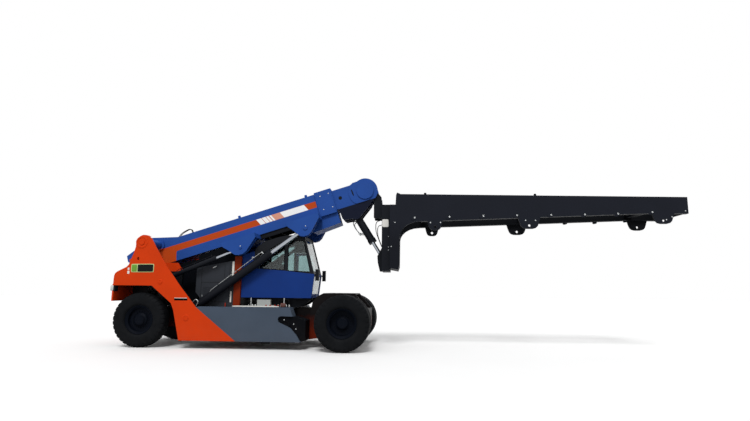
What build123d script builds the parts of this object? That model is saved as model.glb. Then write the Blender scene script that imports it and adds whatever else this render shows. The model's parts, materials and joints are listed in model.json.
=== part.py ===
"""A heavy telescopic handler with a long twin-web lifting beam on its tilting carriage.

Millimetres. +X forward, +Y to the left, +Z up. The machine is drawn with X = 0 at the drive axle and
Z = 0 on the floor. Every node is moved back at the end, so that the origin is on the floor below the
middle of the overall length. The boom is drawn level in its own frame, u along it and w across it
from the main pivot, and is then raised to its resting angle.
"""

import math
import os

from build123d import *

# Clearances: seats of one body, air round moving pieces, and how far a cut runs past a face
seat_gap = 0.3
pin_gap = 0.3
swing_gap = 8
overrun = 60

# Carrier
wheelbase = 5260
side_plane = 1300
floor_gap = 200
panel = 30

# Tyres
tyre_radius = 687.5
tyre_width = 385
bead_radius = 368
# height above the bead and half width, as shares, from the bead to the tread
tyre_shares = ((0.00, 0.70), (0.30, 1.00), (0.80, 0.97), (0.94, 0.87), (1.00, 0.66))

# Rims and hubs
rim_half_share = 0.70
rim_flange = 16
rim_well = 46
rim_disc = 28
outer_disc_inset = 215
inner_disc_inset = 30
rear_disc_inset = 120
hub_radius = 168
hub_cap_radius = 120
hub_cap_length = 95
hub_bore_depth = 130
hub_step = 30
spindle_radius = 60
front_outer_centre = 1490
twin_spacing = 428
kingpin_to_wheel = 288

# Drive axle: length along each side and radius, as shares of the arm's end and the housing's radius
axle_end = 850
axle_housing = 265
axle_shares = ((0.00, 1.00), (0.17, 0.96), (0.30, 0.72), (0.42, 0.53), (0.89, 0.53), (0.89, 0.72), (1.00, 0.72))

# Steer axle and knuckles
steer_beam_height = 240
steer_beam_length = 300
kingpin_offset = 800
kingpin_radius = 55
kingpin_boss = 105
knuckle_plate = 44
knuckle_flange = 155
knuckle_flange_thickness = 90
knuckle_web = 120
steer_limit = 40

# Main frame
frame_half_width = 390
frame_bottom = 470
frame_top = 1010
frame_wall = 30
frame_tail = 240
cross_height = 400
outrigger = 120
tower_joint = 700
# places of the cross members along the deck and along the front frame
outrigger_shares = (0.45, 0.80)
front_cross_shares = (0.16, 0.93)

# Wheel arch, from its foot to its roof: forward in shares of the steered tyre's sweep, up in tyre radii
arch_clearance = 183
arch_reach_shares = (1.316, 1.095, 1.005, 0.365)
arch_rise_shares = (0.38, 0.633)

# Boom pivot, behind and above the steer axle
pivot_setback = 40
pivot_z = 2670
pivot_pin = 70
pivot_boss = 165
pivot_tube = 112
pin_seat = 40

# Side towers: length and height shares, up the back, over the pivot and down the front edge
tower_back = 155
tower_cap = 192
tower_length = 2752
tower_inner = 440
tower_web = 40
tower_back_shares = (
    (0.000, 0.728),
    (0.000, 0.900),
    (0.005, 0.944),
    (0.019, 0.973),
    (0.040, 0.991),
    (0.066, 1.000),
    (0.095, 0.998),
    (0.124, 0.986),
)
tower_edge_shares = ((0.148, 0.965), (0.196, 0.881), (0.306, 0.707), (0.454, 0.508), (0.613, 0.314), (1.000, 0.000))
mouth_drop = 160
# the inner web stops below the boom and behind the front edge; above it only a flange is left
tower_flange = 150
web_shares = ((0.336, 0.745), (0.336, 0.523), (0.456, 0.350), (0.485, 0.300), (1.100, 0.300), (1.100, 1.100), (-0.100, 1.100), (-0.100, 0.745))
flange_shares = ((1.100, 0.745), (1.100, 1.100), (-0.100, 1.100), (-0.100, 0.745))
sight_radius = 42
sight_share = (0.035, 0.768)
slot_length = 350
slot_height = 62
slot_share = (0.405, 0.383)

# Rear body: height shares up to the tower's back
rear_overhang = 714
rear_height = 1000
rear_shares = (
    (1.000, 0.997),
    (0.930, 0.848),
    (0.829, 0.699),
    (0.711, 0.526),
    (0.600, 0.468),
    (0.339, 0.401),
    (0.140, 0.346),
    (0.045, 0.300),
    (0.010, 0.240),
    (0.000, 0.150),
    (0.000, 0.000),
    (1.000, 0.000),
)
rear_cheek_share = 0.592
apron_proud = 26
apron_thickness = 40
apron_drop = 400
apron_inset = 20
tail_clearance = 55
weight_drop = 20

# Side tanks and the castings ahead of them
tank_inner = 930
tank_setback = 1346
tank_rake = 284
casting_setback = 1650
casting_bottom = 230
casting_length = 700
casting_height = 601
casting_outer = 1240
casting_shares = (
    (0.030, 0.960),
    (0.110, 1.000),
    (0.555, 0.987),
    (1.000, 0.827),
    (1.000, 0.000),
    (0.815, 0.000),
    (0.684, 0.248),
    (0.460, 0.527),
    (0.130, 0.704),
    (0.030, 0.760),
    (0.000, 0.860),
)
step_depth = 160
step_height = 190
step_length = 420
step_share = 0.52
step_rise_shares = (0.12, 0.50)

# Front frame over the drive axle: length and height shares
front_frame_setback = 1100
front_frame_bottom = 200
front_frame_length = 1660
front_frame_height = 1207
front_frame_inner = 640
front_frame_plate = 60
front_frame_shares = (
    (0.000, 0.000),
    (0.080, 0.420),
    (0.115, 0.720),
    (0.130, 0.820),
    (0.190, 0.925),
    (0.300, 1.000),
    (0.800, 1.000),
    (1.000, 0.670),
    (1.000, 0.260),
    (0.850, 0.080),
    (0.250, 0.050),
)

# Deck, power housing with the hood on it, the oil tank behind it, and its guard frame
deck_plate = 24
power_half_width = 640
power_height = 1220
power_wall = 25
power_drop_share = 0.83
power_shoulder_share = 0.30
engine_length = 540
engine_half_width = 330
engine_height = 760
hood_half_width = 560
hood_clearance = 75
oil_tank_half_width = 420
oil_tank_shares = ((0.220, 0.672), (0.325, 0.747), (0.500, 0.789))
guard_post = 180
guard_depth = 80
guard_height = 1325

# Boom sections. The places along them start at the pivot
boom_angle = 17.6
boom_axis_drop = 250
base_depth = 630
base_half_width = 380
base_wall = 25
base_front = 5020
base_cavity_rear = -430
tail_shares = ((0.90, 0.500), (-0.23, 0.810), (-1.09, 0.510), (-1.50, 0.360), (-1.51, 0.090), (-0.83, -0.500))
collar_length = 480
collar_proud = 32
extension_depth = 545
extension_half_width = 330
extension_wall = 22
extension_rear = 450
extension_front = 5500
extend_stroke = 3400
pad_length = 330
pad_width = 150

# Cross boxes and ears below the base section, and the keel between the front ears
bracket_drop = 125
bracket_wall = 32
bracket_inner = 690
bracket_outer = 918
front_bracket_start = 3690
front_bracket_length = 870
front_ear_depth = 368
ear_cap = 22
rear_bracket_start = 1880
rear_bracket_length = 910
rear_ear_depth = 325
ear_shares = ((0.000, 1.000), (0.130, 0.640), (0.290, 0.100), (0.400, 0.000), (0.530, 0.000), (0.640, 0.140), (1.000, 1.000))
keel_start = 4150
keel_depth = 385
keel_slope_share = 0.333
keel_front_depth = 338
keel_half_width = 330

# Head: places are shares of the head's radius, from the head pin
head_reach = 5927
head_radius = 350
cheek_inner = 282
cheek_thickness = 48
head_disc = 235
head_disc_thickness = 45
head_pin_radius = 90
head_bulkhead = 30
doubler_thickness = 16
doubler_shares = (
    (-0.78, 0.90),
    (-1.02, 0.78),
    (-1.20, 0.57),
    (-1.30, 0.28),
    (-1.33, -0.02),
    (-1.29, -0.35),
    (-1.14, -0.65),
    (-0.87, -0.82),
    (-0.56, -0.86),
    (0.02, -0.82),
    (0.45, -0.60),
    (0.70, -0.15),
    (0.70, 0.25),
    (0.45, 0.65),
    (0.00, 0.90),
)
cheek_shares = ((-2.45, -0.780), (-0.50, -0.930), (-0.50, 0.930), (-0.90, 0.780), (-2.45, 0.780))
nose_shares = (
    (-2.42, -0.700),
    (-2.36, -1.600),
    (-2.20, -1.780),
    (-1.90, -1.800),
    (-1.60, -1.860),
    (-1.42, -1.960),
    (-1.24, -2.000),
    (-1.06, -1.960),
    (-0.88, -1.840),
    (-0.55, -1.600),
    (0.10, -1.150),
    (0.30, -0.880),
    (-0.60, -0.500),
    (-1.20, -0.700),
)
nose_plate = 36
nose_pin = 42
nose_pin_reach = 5493
nose_pin_drop = 829

# Cylinders, in pairs. Base places of the lift and levelling pair are shares of the tower
cylinder_row = 804
lift_base_share = (0.489, 0.271)
lift_length = 2600
lift_radius = 108
lift_rod = 54
lift_eye = 105
lift_pin = 55
lift_tip = 82
lift_tip_width = 130
lift_tip_bore = 46
lift_tail_share = 0.40
lift_pin_reach = 4136
lift_pin_drop = 851
levelling_base_share = (0.2453, 0.5864)
levelling_length = 1400
levelling_radius = 66
levelling_rod = 34
levelling_eye = 70
levelling_pin = 38
levelling_tip = 62
levelling_tip_width = 110
levelling_tip_bore = 34
levelling_tail_share = 0.40
levelling_pin_reach = 2337
levelling_pin_drop = 836
tilt_row = 135
tilt_length = 860
tilt_radius = 104
tilt_rod = 48
tilt_eye = 88
tilt_tip = 72
tilt_tip_width = 96
tilt_tip_bore = 38
tilt_tail_share = 0.65
gland_length = 90
gland_share = 1.1
eye_width_share = 0.96
rod_gap = 1

# Carriage. Its places start at the head pin
carriage_ahead = 484
carriage_depth = 216
carriage_drop = 439
carriage_height = 1782
carriage_half_width = 600
upright_width = 170
low_cross_height = 290
high_cross_height = 385
arm_thickness = 42
arm_gap = 8
# round the head pin, in the head's radius
arm_shares = (
    (-0.43, -0.20),
    (-0.17, 0.40),
    (0.34, 0.34),
    (1.05, -0.20),
    (1.30, -0.50),
    (1.38, -1.42),
    (1.55, -1.62),
    (1.55, -2.18),
    (0.74, -2.18),
    (0.70, -2.10),
    (0.70, -0.75),
    (0.40, -0.50),
)
rod_pin_back = 29
rod_pin_rise = 429
rod_lug = 24
rod_lug_gap = 3
# round the rod's pin, in the head's radius
rod_lug_shares = ((-0.10, -1.20), (-0.26, -0.55), (-0.30, -0.02), (0.03, 0.59), (0.25, 0.59), (0.42, -1.20))

# Mast and beam
beam_half_width = 760
beam_web = 40
mast_depth = 270
mast_foot_rise = 35
mast_head_rise = 302
mast_side = 60
mast_face = 50
# depth and height, up the back and down the front
mast_shares = (
    (0.000, 0.018),
    (0.000, 0.841),
    (0.560, 0.841),
    (0.610, 0.967),
    (0.700, 1.000),
    (1.000, 0.986),
    (1.000, 0.378),
    (0.970, 0.057),
    (0.820, 0.000),
)
mast_tie = 100
mast_tie_shares = (0.08, 0.76)
beam_length = 7425
beam_root_top = 261
beam_tip_drop = 82
beam_root_depth = 756
beam_tip_depth = 434
beam_taper_share = 0.887
beam_flange = 150
beam_flange_thickness = 30
# the curve from the mast's face up to the beam's underside
gusset_reach = 560
gusset_drop = 400
gusset_shares = (
    (1.000, 0.000),
    (0.741, 0.034),
    (0.500, 0.134),
    (0.293, 0.293),
    (0.134, 0.500),
    (0.034, 0.741),
    (0.000, 1.000),
)
tie_length = 180
tie_height = 300
tie_wall = 25
tie_shares = (0.09, 0.47, 0.88)
beam_end_plate = 40

# Sling hangers: middle along the beam, length, and depth of the foot below the beam, as shares
hanger_thickness = 45
hanger_bore = 34
hanger_seat = 90
hanger_length = 585
hanger_depth = 270
hanger_shares = ((0.125, 0.69, 0.92), (0.455, 1.00, 1.10), (0.914, 0.97, 1.02))
# the rounded foot: along the length, and down in the depth
hanger_outline = (
    (0.93, 0.42),
    (0.87, 0.74),
    (0.78, 0.92),
    (0.64, 1.00),
    (0.36, 1.00),
    (0.22, 0.92),
    (0.13, 0.74),
    (0.07, 0.42),
)

# Cab
cab_half_width = 620
cab_wall = 45
# its front and its length follow the wheelbase, and its roof the boom above it
cab_setback_share = 0.1673
cab_length_share = 0.3730
cab_lift = 238
roof_clearance = 181
cab_shares = (
    (0.006, 0.000),
    (0.000, 0.670),
    (0.166, 0.735),
    (0.205, 0.815),
    (0.315, 0.900),
    (0.496, 0.965),
    (0.610, 0.995),
    (0.800, 1.000),
    (0.852, 0.985),
    (0.990, 0.400),
    (1.000, 0.360),
    (0.965, 0.000),
)
waist_shares = ((1.200, 0.353), (0.593, 0.427), (0.166, 0.462), (0.166, 1.200), (1.200, 1.200))
side_window_shares = ((0.633, 0.426), (0.942, 0.411), (0.842, 0.905), (0.633, 0.912))
rear_window_shares = (
    (0.236, 0.468),
    (0.582, 0.435),
    (0.582, 0.880),
    (0.486, 0.850),
    (0.334, 0.736),
    (0.236, 0.691),
)
screen_half_width = 530
screen_shares = (0.80, 0.425, 0.930)
low_screen_shares = (0.94, 0.060, 0.345)
back_light_half_width = 430
back_light_shares = (0.12, 0.480, 0.640)
glass_inset = 15
glass = 10

# Door on the left, hung behind it
door_shares = ((0.613, 0.040), (0.934, 0.040), (0.951, 0.375), (0.872, 0.757), (0.613, 0.757))
door_window_shares = ((0.645, 0.430), (0.908, 0.430), (0.850, 0.720), (0.645, 0.720))
hinge_reach = 17
hinge_radius = 16
hinge_pin = 8
hinge_pin_gap = 0.06
hinge_leaf = 60
hinge_height = 50
hinge_lug = 24
hinge_shares = (0.14, 0.66)

# Cab interior, rails, valve block and mirrors: places as shares of the cab
rail_inner = 350
rail_width = 90
rail_shares = ((0.07, 1.00), (0.97, 1.00), (0.86, 0.28), (0.763, 0.00), (0.07, 0.00))
seat_base = 350
seat_base_height = 300
seat_width = 500
seat_pad = 480
seat_pad_height = 120
seat_back_height = 600
seat_back = 100
seat_share = 0.26
console_width = 170
console_shares = ((0.77, 0.00), (0.87, 0.00), (0.79, 0.36), (0.73, 0.36))
wheel_radius = 190
wheel_grip = 18
wheel_tilt = 25
wheel_share = (0.745, 0.375)
valve_foot = 38
valve_foot_length = 490
valve_length = 360
valve_width = 130
valve_height = 150
valve_share = 0.225
mirror_length = 90
mirror_width = 110
mirror_height = 300
mirror_arm = 40
mirror_stand = 70
mirror_share = (1.016, 0.275)
mirror_arm_share = 0.97

# Places that follow from the sizes above
rear_centre = kingpin_offset + kingpin_to_wheel
front_inner_centre = front_outer_centre - twin_spacing
rim_half = tyre_width / 2 * rim_half_share
arm_radius = axle_housing * axle_shares[3][1]
tyre_sweep = math.hypot(tyre_radius, kingpin_to_wheel + tyre_width / 2)
arch_roof = 2 * tyre_radius + arch_clearance
pivot_x = -wheelbase - pivot_setback
tower_rear = pivot_x - tower_back
tower_height = pivot_z + tower_cap - floor_gap
tower_corner = (tower_rear, floor_gap)
tower_size = (tower_length, tower_height)
frame_rear = -wheelbase - frame_tail
frame_middle = (frame_bottom + frame_top) / 2
frame_nose = -front_frame_setback + front_frame_length - seat_gap
rear_end = -wheelbase - rear_overhang
deck_top = frame_top + seat_gap + deck_plate
cab_setback = wheelbase * cab_setback_share
cab_length = wheelbase * cab_length_share
cab_rear = -cab_setback - cab_length
cab_bottom = deck_top + cab_lift
cab_corner = (cab_rear, cab_bottom)
guard_rear = cab_rear - seat_gap - guard_post
power_front = guard_rear - seat_gap
base_top = -boom_axis_drop + base_depth / 2
base_bottom = -boom_axis_drop - base_depth / 2
hanger_face = beam_half_width - hanger_thickness

sides = ((-1, "right"), (1, "left"))
nodes = {}


def spread(shares, corner, size):
    """Outline points from shares of a size, measured from a corner."""
    return [(corner[0] + size[0] * a, corner[1] + size[1] * b) for a, b in shares]


def around(shares, centre, unit):
    """Outline points from shares of one size, measured from a centre."""
    return spread(shares, centre, (unit, unit))


def rotate_up(u, w):
    """A point of the boom's frame, in the machine's frame, with the boom at its resting angle."""
    c = math.cos(math.radians(boom_angle))
    s = math.sin(math.radians(boom_angle))
    return (pivot_x + u * c - w * s, pivot_z + u * s + w * c)


def in_boom(shape):
    """Places a shape drawn level about the main pivot on the raised boom."""
    return Pos(pivot_x, 0, pivot_z) * Rot(0, -boom_angle, 0) * shape


def span(side, inner, outer):
    """The two ends of a stretch across the machine, on one side, in rising order."""
    return sorted((side * inner, side * outer))


def block(x0, x1, y0, y1, z0, z1):
    """A box between two corners."""
    size = (x1 - x0, y1 - y0, z1 - z0)
    return Pos((x0 + x1) / 2, (y0 + y1) / 2, (z0 + z1) / 2) * Box(*size)


def plate(points, y0, y1):
    """A side view outline, extruded from y0 to y1."""
    wire = Polyline(*[(x, y0, z) for x, z in points], close=True)
    return extrude(make_face(wire), amount=y1 - y0, dir=(0, 1, 0))


def resized(points, amount):
    """An outline moved out by an amount on every side, or in if it is negative."""
    face = make_face(Polyline(*[(x, z, 0) for x, z in points], close=True))
    wire = offset(face, amount=amount, kind=Kind.INTERSECTION).faces()[0].outer_wire()
    return [(e.position_at(0).X, e.position_at(0).Y) for e in wire.order_edges()]


def disc(x, z, radius, y0, y1):
    """A cylinder across the machine, from y0 to y1."""
    return Pos(x, (y0 + y1) / 2, z) * Rot(90, 0, 0) * Cylinder(radius, y1 - y0)


def turned(points, side=1):
    """A solid of revolution about the Y axis, from (radius, y) points."""
    return revolve(make_face(Polyline(*[(r, side * y, 0) for r, y in points], close=True)), axis=Axis.Y)


def both(shape):
    """The shape and its mirror image on the other side."""
    return shape + mirror(shape, about=Plane.XZ)


def keep(name, shape):
    """Stores a shape under its node's name, beside what that node already holds."""
    nodes[name] = nodes[name] + shape if name in nodes else shape


def edge_x(z):
    """The towers' front edge at a height."""
    for (x0, z0), (x1, z1) in zip(tower_edge, tower_edge[1:]):
        if z1 <= z <= z0:
            return x0 + (x1 - x0) * (z - z0) / (z1 - z0)
    return tower_edge[-1][0]


# Places on outlines that several pieces share
tower_edge = spread(tower_edge_shares, tower_corner, tower_size)
tower_back_edge = spread(tower_back_shares, tower_corner, tower_size)
sill = tower_edge[4]
lift_base = spread([lift_base_share], tower_corner, tower_size)[0]
levelling_base = spread([levelling_base_share], tower_corner, tower_size)[0]
tail = around(tail_shares, (0, -boom_axis_drop), base_depth)
tail_reach = max(math.hypot(u, w) for u, w in tail)
lift_pin_place = rotate_up(lift_pin_reach, -lift_pin_drop)
levelling_pin_place = rotate_up(levelling_pin_reach, -levelling_pin_drop)
nose_pin_place = rotate_up(nose_pin_reach, -nose_pin_drop)
head_place = rotate_up(head_reach, -boom_axis_drop)
carriage_rear = head_place[0] + carriage_ahead
carriage_front = carriage_rear + carriage_depth
carriage_top = head_place[1] - carriage_drop
carriage_bottom = carriage_top - carriage_height
rod_place = (carriage_rear - rod_pin_back, carriage_bottom + rod_pin_rise)
beam_root = carriage_front + mast_depth + 2 * seat_gap
beam_tip = beam_root + beam_length
tank_front = -tank_setback
roof_place = rotate_up(front_bracket_start, base_bottom - bracket_drop)
cab_height = roof_place[1] - roof_clearance - cab_bottom
cab_size = (cab_length, cab_height)
door_outline = spread(door_shares, cab_corner, cab_size)


# Tyres, rims and hubs


def tyre():
    """A tyre's carcass about the Y axis, out to its tread."""
    wall = spread(tyre_shares, (bead_radius, 0), (tyre_radius - bead_radius, tyre_width / 2))
    return turned(wall + [(r, -y) for r, y in reversed(wall)])


def rim(side, disc_inset):
    """A rim about the Y axis, with flanges, a well and a disc set in from its outer edge."""
    edge = bead_radius - seat_gap
    well = edge - rim_well
    section = [
        (edge, -rim_half),
        (edge, rim_half),
        (edge - rim_flange, rim_half),
        (well - rim_flange, rim_half - rim_well),
        (well - rim_flange, -rim_half + rim_well),
        (edge - rim_flange, -rim_half),
    ]
    ring = turned(section, side)
    face = rim_half - disc_inset
    y0, y1 = span(side, face - rim_disc, face)
    return ring + disc(0, 0, well - rim_flange / 2, y0, y1)


def hub(side, start, face):
    """A stepped hub from its inner end to the cap beyond a rim's disc, bored for the spindle."""
    section = [
        (0, start),
        (hub_radius, start),
        (hub_radius, face + hub_step),
        (hub_cap_radius, face + 2 * hub_step),
        (hub_cap_radius, face + hub_cap_length),
        (0, face + hub_cap_length),
    ]
    bore = disc(0, 0, spindle_radius + pin_gap, *span(side, start - overrun, start + hub_bore_depth))
    return turned(section, side) - bore


def add_wheels():
    """Twin drive wheels on each front hub, and single steered wheels behind."""
    outer_face = front_outer_centre + rim_half - outer_disc_inset
    rear_face = rear_centre + rim_half - rear_disc_inset
    rear_start = rear_centre - spindle_radius + pin_gap
    for side, word in sides:
        outer = Pos(0, side * front_outer_centre, tyre_radius)
        inner = Pos(0, side * front_inner_centre, tyre_radius)
        rear = Pos(-wheelbase, side * rear_centre, tyre_radius)
        keep(f"front_tyres_{word}", outer * tyre() + inner * tyre())
        rims = outer * rim(side, outer_disc_inset) + inner * rim(side, inner_disc_inset)
        drum = Pos(0, 0, tyre_radius) * hub(side, axle_end + pin_gap, outer_face)
        spindle = disc(0, tyre_radius, spindle_radius + pin_gap, *span(side, axle_end, axle_end + hub_bore_depth))
        keep(f"front_rims_{word}", rims + drum - spindle)
        keep(f"rear_tyre_{word}", rear * tyre())
        drum = Pos(-wheelbase, 0, tyre_radius) * hub(side, rear_start, rear_face)
        bore = span(side, rear_start, rear_start + hub_bore_depth)
        spindle = disc(-wheelbase, tyre_radius, spindle_radius + pin_gap, *bore)
        keep(f"rear_rim_{word}", rear * rim(side, rear_disc_inset) + drum - spindle)


# Axles


def add_axles():
    """The drive axle's housing and spindles, the steer axle's beam, and its knuckles."""
    half = spread(axle_shares, (0, 0), (axle_end, axle_housing))
    profile = [(0, 0)] + [(r, y) for y, r in half] + [(0, axle_end)]
    spindle = axle_end + hub_bore_depth - pin_gap
    axle = turned(profile) + turned(profile, -1) + disc(0, 0, spindle_radius, -spindle, spindle)
    keep("front_axle", Pos(0, 0, tyre_radius) * axle)

    rise = steer_beam_height / 2
    end = kingpin_offset - kingpin_radius
    x0 = -wheelbase - steer_beam_length / 2
    x1 = -wheelbase + steer_beam_length / 2
    beam = block(x0, x1, -end, end, tyre_radius - rise, tyre_radius + rise)
    waist = steer_beam_length / 4
    for step in (-1, 1):
        taper = [(step * steer_beam_length, frame_half_width), (step * steer_beam_length, kingpin_offset),
                 (step * waist, kingpin_offset), (step * waist * 2, frame_half_width)]
        for side in (-1, 1):
            face = make_face(Polyline(*[(x, side * y, 0) for x, y in taper], close=True))
            cut = extrude(face, amount=steer_beam_height + 2 * overrun, dir=(0, 0, 1))
            beam -= Pos(-wheelbase, 0, tyre_radius - rise - overrun) * cut
    eyes = [Pos(-wheelbase, side * kingpin_offset, tyre_radius) for side in (-1, 1)]
    for eye in eyes:
        beam += eye * Cylinder(kingpin_boss, steer_beam_height)
    for eye in eyes:
        beam -= eye * Cylinder(kingpin_radius + pin_gap, steer_beam_height + 2 * overrun)
    keep("rear_axle", beam)

    back = rear_centre - spindle_radius
    for (side, word), eye in zip(sides, eyes):
        top = rise + pin_gap + knuckle_plate
        knuckle = eye * Cylinder(kingpin_radius, 2 * top)
        for level in (-1, 1):
            lift = level * (top - knuckle_plate / 2)
            knuckle += eye * Pos(0, 0, lift) * Cylinder(kingpin_boss, knuckle_plate)
        y0, y1 = span(side, kingpin_offset, back - knuckle_flange_thickness / 2)
        half_web = knuckle_web / 2
        yoke = block(
            -wheelbase - half_web, -wheelbase + half_web, y0, y1, tyre_radius - top, tyre_radius + top
        )
        yoke -= eye * Cylinder(kingpin_boss + swing_gap, steer_beam_height + 2 * pin_gap)
        flange = disc(
            -wheelbase, tyre_radius, knuckle_flange, *span(side, back - knuckle_flange_thickness, back)
        )
        end = rear_centre - spindle_radius + hub_bore_depth
        pin = disc(-wheelbase, tyre_radius, spindle_radius, *span(side, back - pin_gap, end))
        keep(f"knuckle_{word}", knuckle + yoke + flange + pin)


# Frame, towers, rear body, tanks and front frame


def add_frame():
    """The box frame with its cross members, notched for both axles."""
    half = frame_half_width
    wall = frame_wall
    frame = block(frame_rear, frame_nose, -half, half, frame_bottom, frame_top)
    inner = half - wall
    frame -= block(
        frame_rear + wall, frame_nose - wall, -inner, inner, frame_bottom + wall, frame_top - wall
    )
    z0 = frame_middle - cross_height / 2
    z1 = frame_middle + cross_height / 2
    foot = -wheelbase + tyre_sweep * arch_reach_shares[0]
    members = [(foot, foot + tower_joint, tower_inner)]
    deck_length = tank_front - sill[0]
    members += [
        (sill[0] + deck_length * a, sill[0] + deck_length * a + outrigger, tank_inner)
        for a in outrigger_shares
    ]
    start = -front_frame_setback
    members += [
        (start + front_frame_length * a, start + front_frame_length * a + outrigger, front_frame_inner)
        for a in front_cross_shares
    ]
    for x0, x1, reach in members:
        for side in (-1, 1):
            y0, y1 = span(side, inner, reach - seat_gap)
            x1 = min(x1, frame_nose)
            frame += block(x0, x1, y0, y1, z0, z1)
    frame -= disc(0, tyre_radius, axle_housing + swing_gap, -half - overrun, half + overrun)
    rise = steer_beam_height / 2 + seat_gap
    reach = steer_beam_length / 2 + seat_gap
    frame -= block(
        -wheelbase - reach,
        -wheelbase + reach,
        -half - overrun,
        half + overrun,
        tyre_radius - rise,
        tyre_radius + rise,
    )
    keep("main_frame", frame)


def tower_outline():
    """The tower's side view: up the back, over the pivot, down the front and round the wheel arch."""
    reach = [-wheelbase + tyre_sweep * a for a in arch_reach_shares]
    rise = [floor_gap] + [tyre_radius * (1 + b) for b in arch_rise_shares] + [arch_roof]
    return tower_back_edge + tower_edge + list(zip(reach, rise)) + [(tower_rear, arch_roof)]


def add_towers():
    """Hollow side towers, open at the front for the cylinders that stand in them."""
    outline = tower_outline()
    cavity = resized(outline, -panel)
    mouth = lift_base[1] - mouth_drop
    slot = spread([slot_share], tower_corner, tower_size)[0]
    sight = spread([sight_share], tower_corner, tower_size)[0]
    for side, word in sides:
        tower = plate(outline, *span(side, tower_inner, side_plane))
        c0, c1 = span(side, tower_inner + tower_web, side_plane - panel)
        tower -= plate(cavity, c0, c1)
        ahead = Pos(panel + overrun, 0, 0) * plate(cavity, c0, c1)
        rest = block(tower_rear, pivot_x + tower_length, c0, c1, floor_gap - overrun, mouth)
        tower -= ahead - rest
        w0, w1 = span(side, tower_inner - overrun, tower_inner + tower_web + seat_gap)
        tower -= plate(spread(web_shares, tower_corner, tower_size), w0, w1)
        w0, w1 = span(side, tower_inner - overrun, side_plane - tower_flange)
        tower -= plate(spread(flange_shares, tower_corner, tower_size), w0, w1)
        for (x, z), radius in ((lift_base, lift_pin), (levelling_base, levelling_pin)):
            tower += disc(x, z, radius, *span(side, tower_inner + tower_web / 2, side_plane - panel / 2))
        tower += disc(pivot_x, pivot_z, pivot_pin, *span(side, base_half_width - pin_seat, side_plane + panel / 2))
        y0, y1 = span(side, side_plane - panel - overrun, side_plane + overrun)
        tower -= disc(sight[0], sight[1], sight_radius, y0, y1)
        tower -= block(
            slot[0], slot[0] + slot_length, y0, y1, slot[1] - slot_height / 2, slot[1] + slot_height / 2
        )
        keep(f"tower_{word}", tower)


def add_rear_body():
    """The rear body across both sides, with a channel for the boom's tail and a slab below it."""
    size = (tower_rear - seat_gap - rear_end, rear_height)
    body = plate(spread(rear_shares, (rear_end, arch_roof), size), -side_plane, side_plane)
    floor = pivot_z - tail_reach - tail_clearance
    body -= block(rear_end - overrun, tower_rear, -tower_inner, tower_inner, floor, pivot_z)
    cheek = side_plane - panel
    shelf = arch_roof + rear_height * rear_cheek_share
    body -= block(rear_end - overrun, tower_rear, -cheek, cheek, shelf, pivot_z)
    wide = side_plane - apron_inset
    x0 = rear_end - apron_proud
    body += block(x0, x0 + apron_thickness, -wide, wide, arch_roof - apron_drop, arch_roof + panel)
    half = frame_half_width
    body += block(rear_end, frame_rear - seat_gap, -half, half, frame_bottom - weight_drop, floor)
    keep("counterweight", body)


def add_tanks():
    """Side tanks, the castings ahead of them, and the steps in the left tank."""
    casting = spread(casting_shares, (-casting_setback, casting_bottom), (casting_length, casting_height))
    foot = tower_edge[5]
    outline = [
        (sill[0] + seat_gap, sill[1]),
        (tank_front, sill[1]),
        (tank_front + tank_rake, floor_gap),
        (foot[0] + seat_gap, floor_gap),
    ]
    around_casting = resized(casting, seat_gap)
    tank_height = sill[1] - floor_gap
    for side, word in sides:
        inner = front_frame_inner + front_frame_plate + seat_gap
        keep("axle_brackets", plate(casting, *span(side, inner, casting_outer)))
        tank = plate(outline, *span(side, tank_inner, side_plane))
        tank -= plate(around_casting, *span(side, tank_inner - overrun, side_plane + overrun))
        if side > 0:
            x0 = foot[0] + (tank_front - foot[0]) * step_share
            for rise in step_rise_shares:
                z0 = floor_gap + tank_height * rise
                y0, y1 = side_plane - step_depth, side_plane + overrun
                tank -= block(x0, x0 + step_length, y0, y1, z0, z0 + step_height)
        solids = sorted(tank.solids(), key=lambda part: part.volume)
        keep("side_tanks", solids[-1])


def add_front_frame():
    """Side plates round the drive axle's arms, joined by a top plate and a nose plate."""
    corner = (-front_frame_setback, front_frame_bottom)
    size = (front_frame_length, front_frame_height)
    outline = spread(front_frame_shares, corner, size)
    outer = front_frame_inner + front_frame_plate
    front = both(plate(outline, front_frame_inner, outer))
    top = outline[5][1]
    front += block(outline[5][0], outline[6][0], -outer, outer, top - panel, top)
    nose = outline[7]
    front += block(nose[0], nose[0] + panel, -outer, outer, outline[8][1], nose[1])
    front -= disc(0, tyre_radius, arm_radius + seat_gap, -outer - overrun, outer + overrun)
    keep("front_plates", front)


def add_deck():
    """The deck on the frame, with the two rails that carry the cab."""
    half = tank_inner - seat_gap
    low = frame_top + seat_gap
    deck = block(edge_x(low) + swing_gap, tank_front, -half, half, low, deck_top)
    rail = spread(rail_shares, (cab_rear, deck_top - deck_plate / 2), (cab_length, cab_lift + deck_plate / 2 - seat_gap))
    deck += both(plate(rail, rail_inner, rail_inner + rail_width))
    keep("deck", deck)


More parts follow.
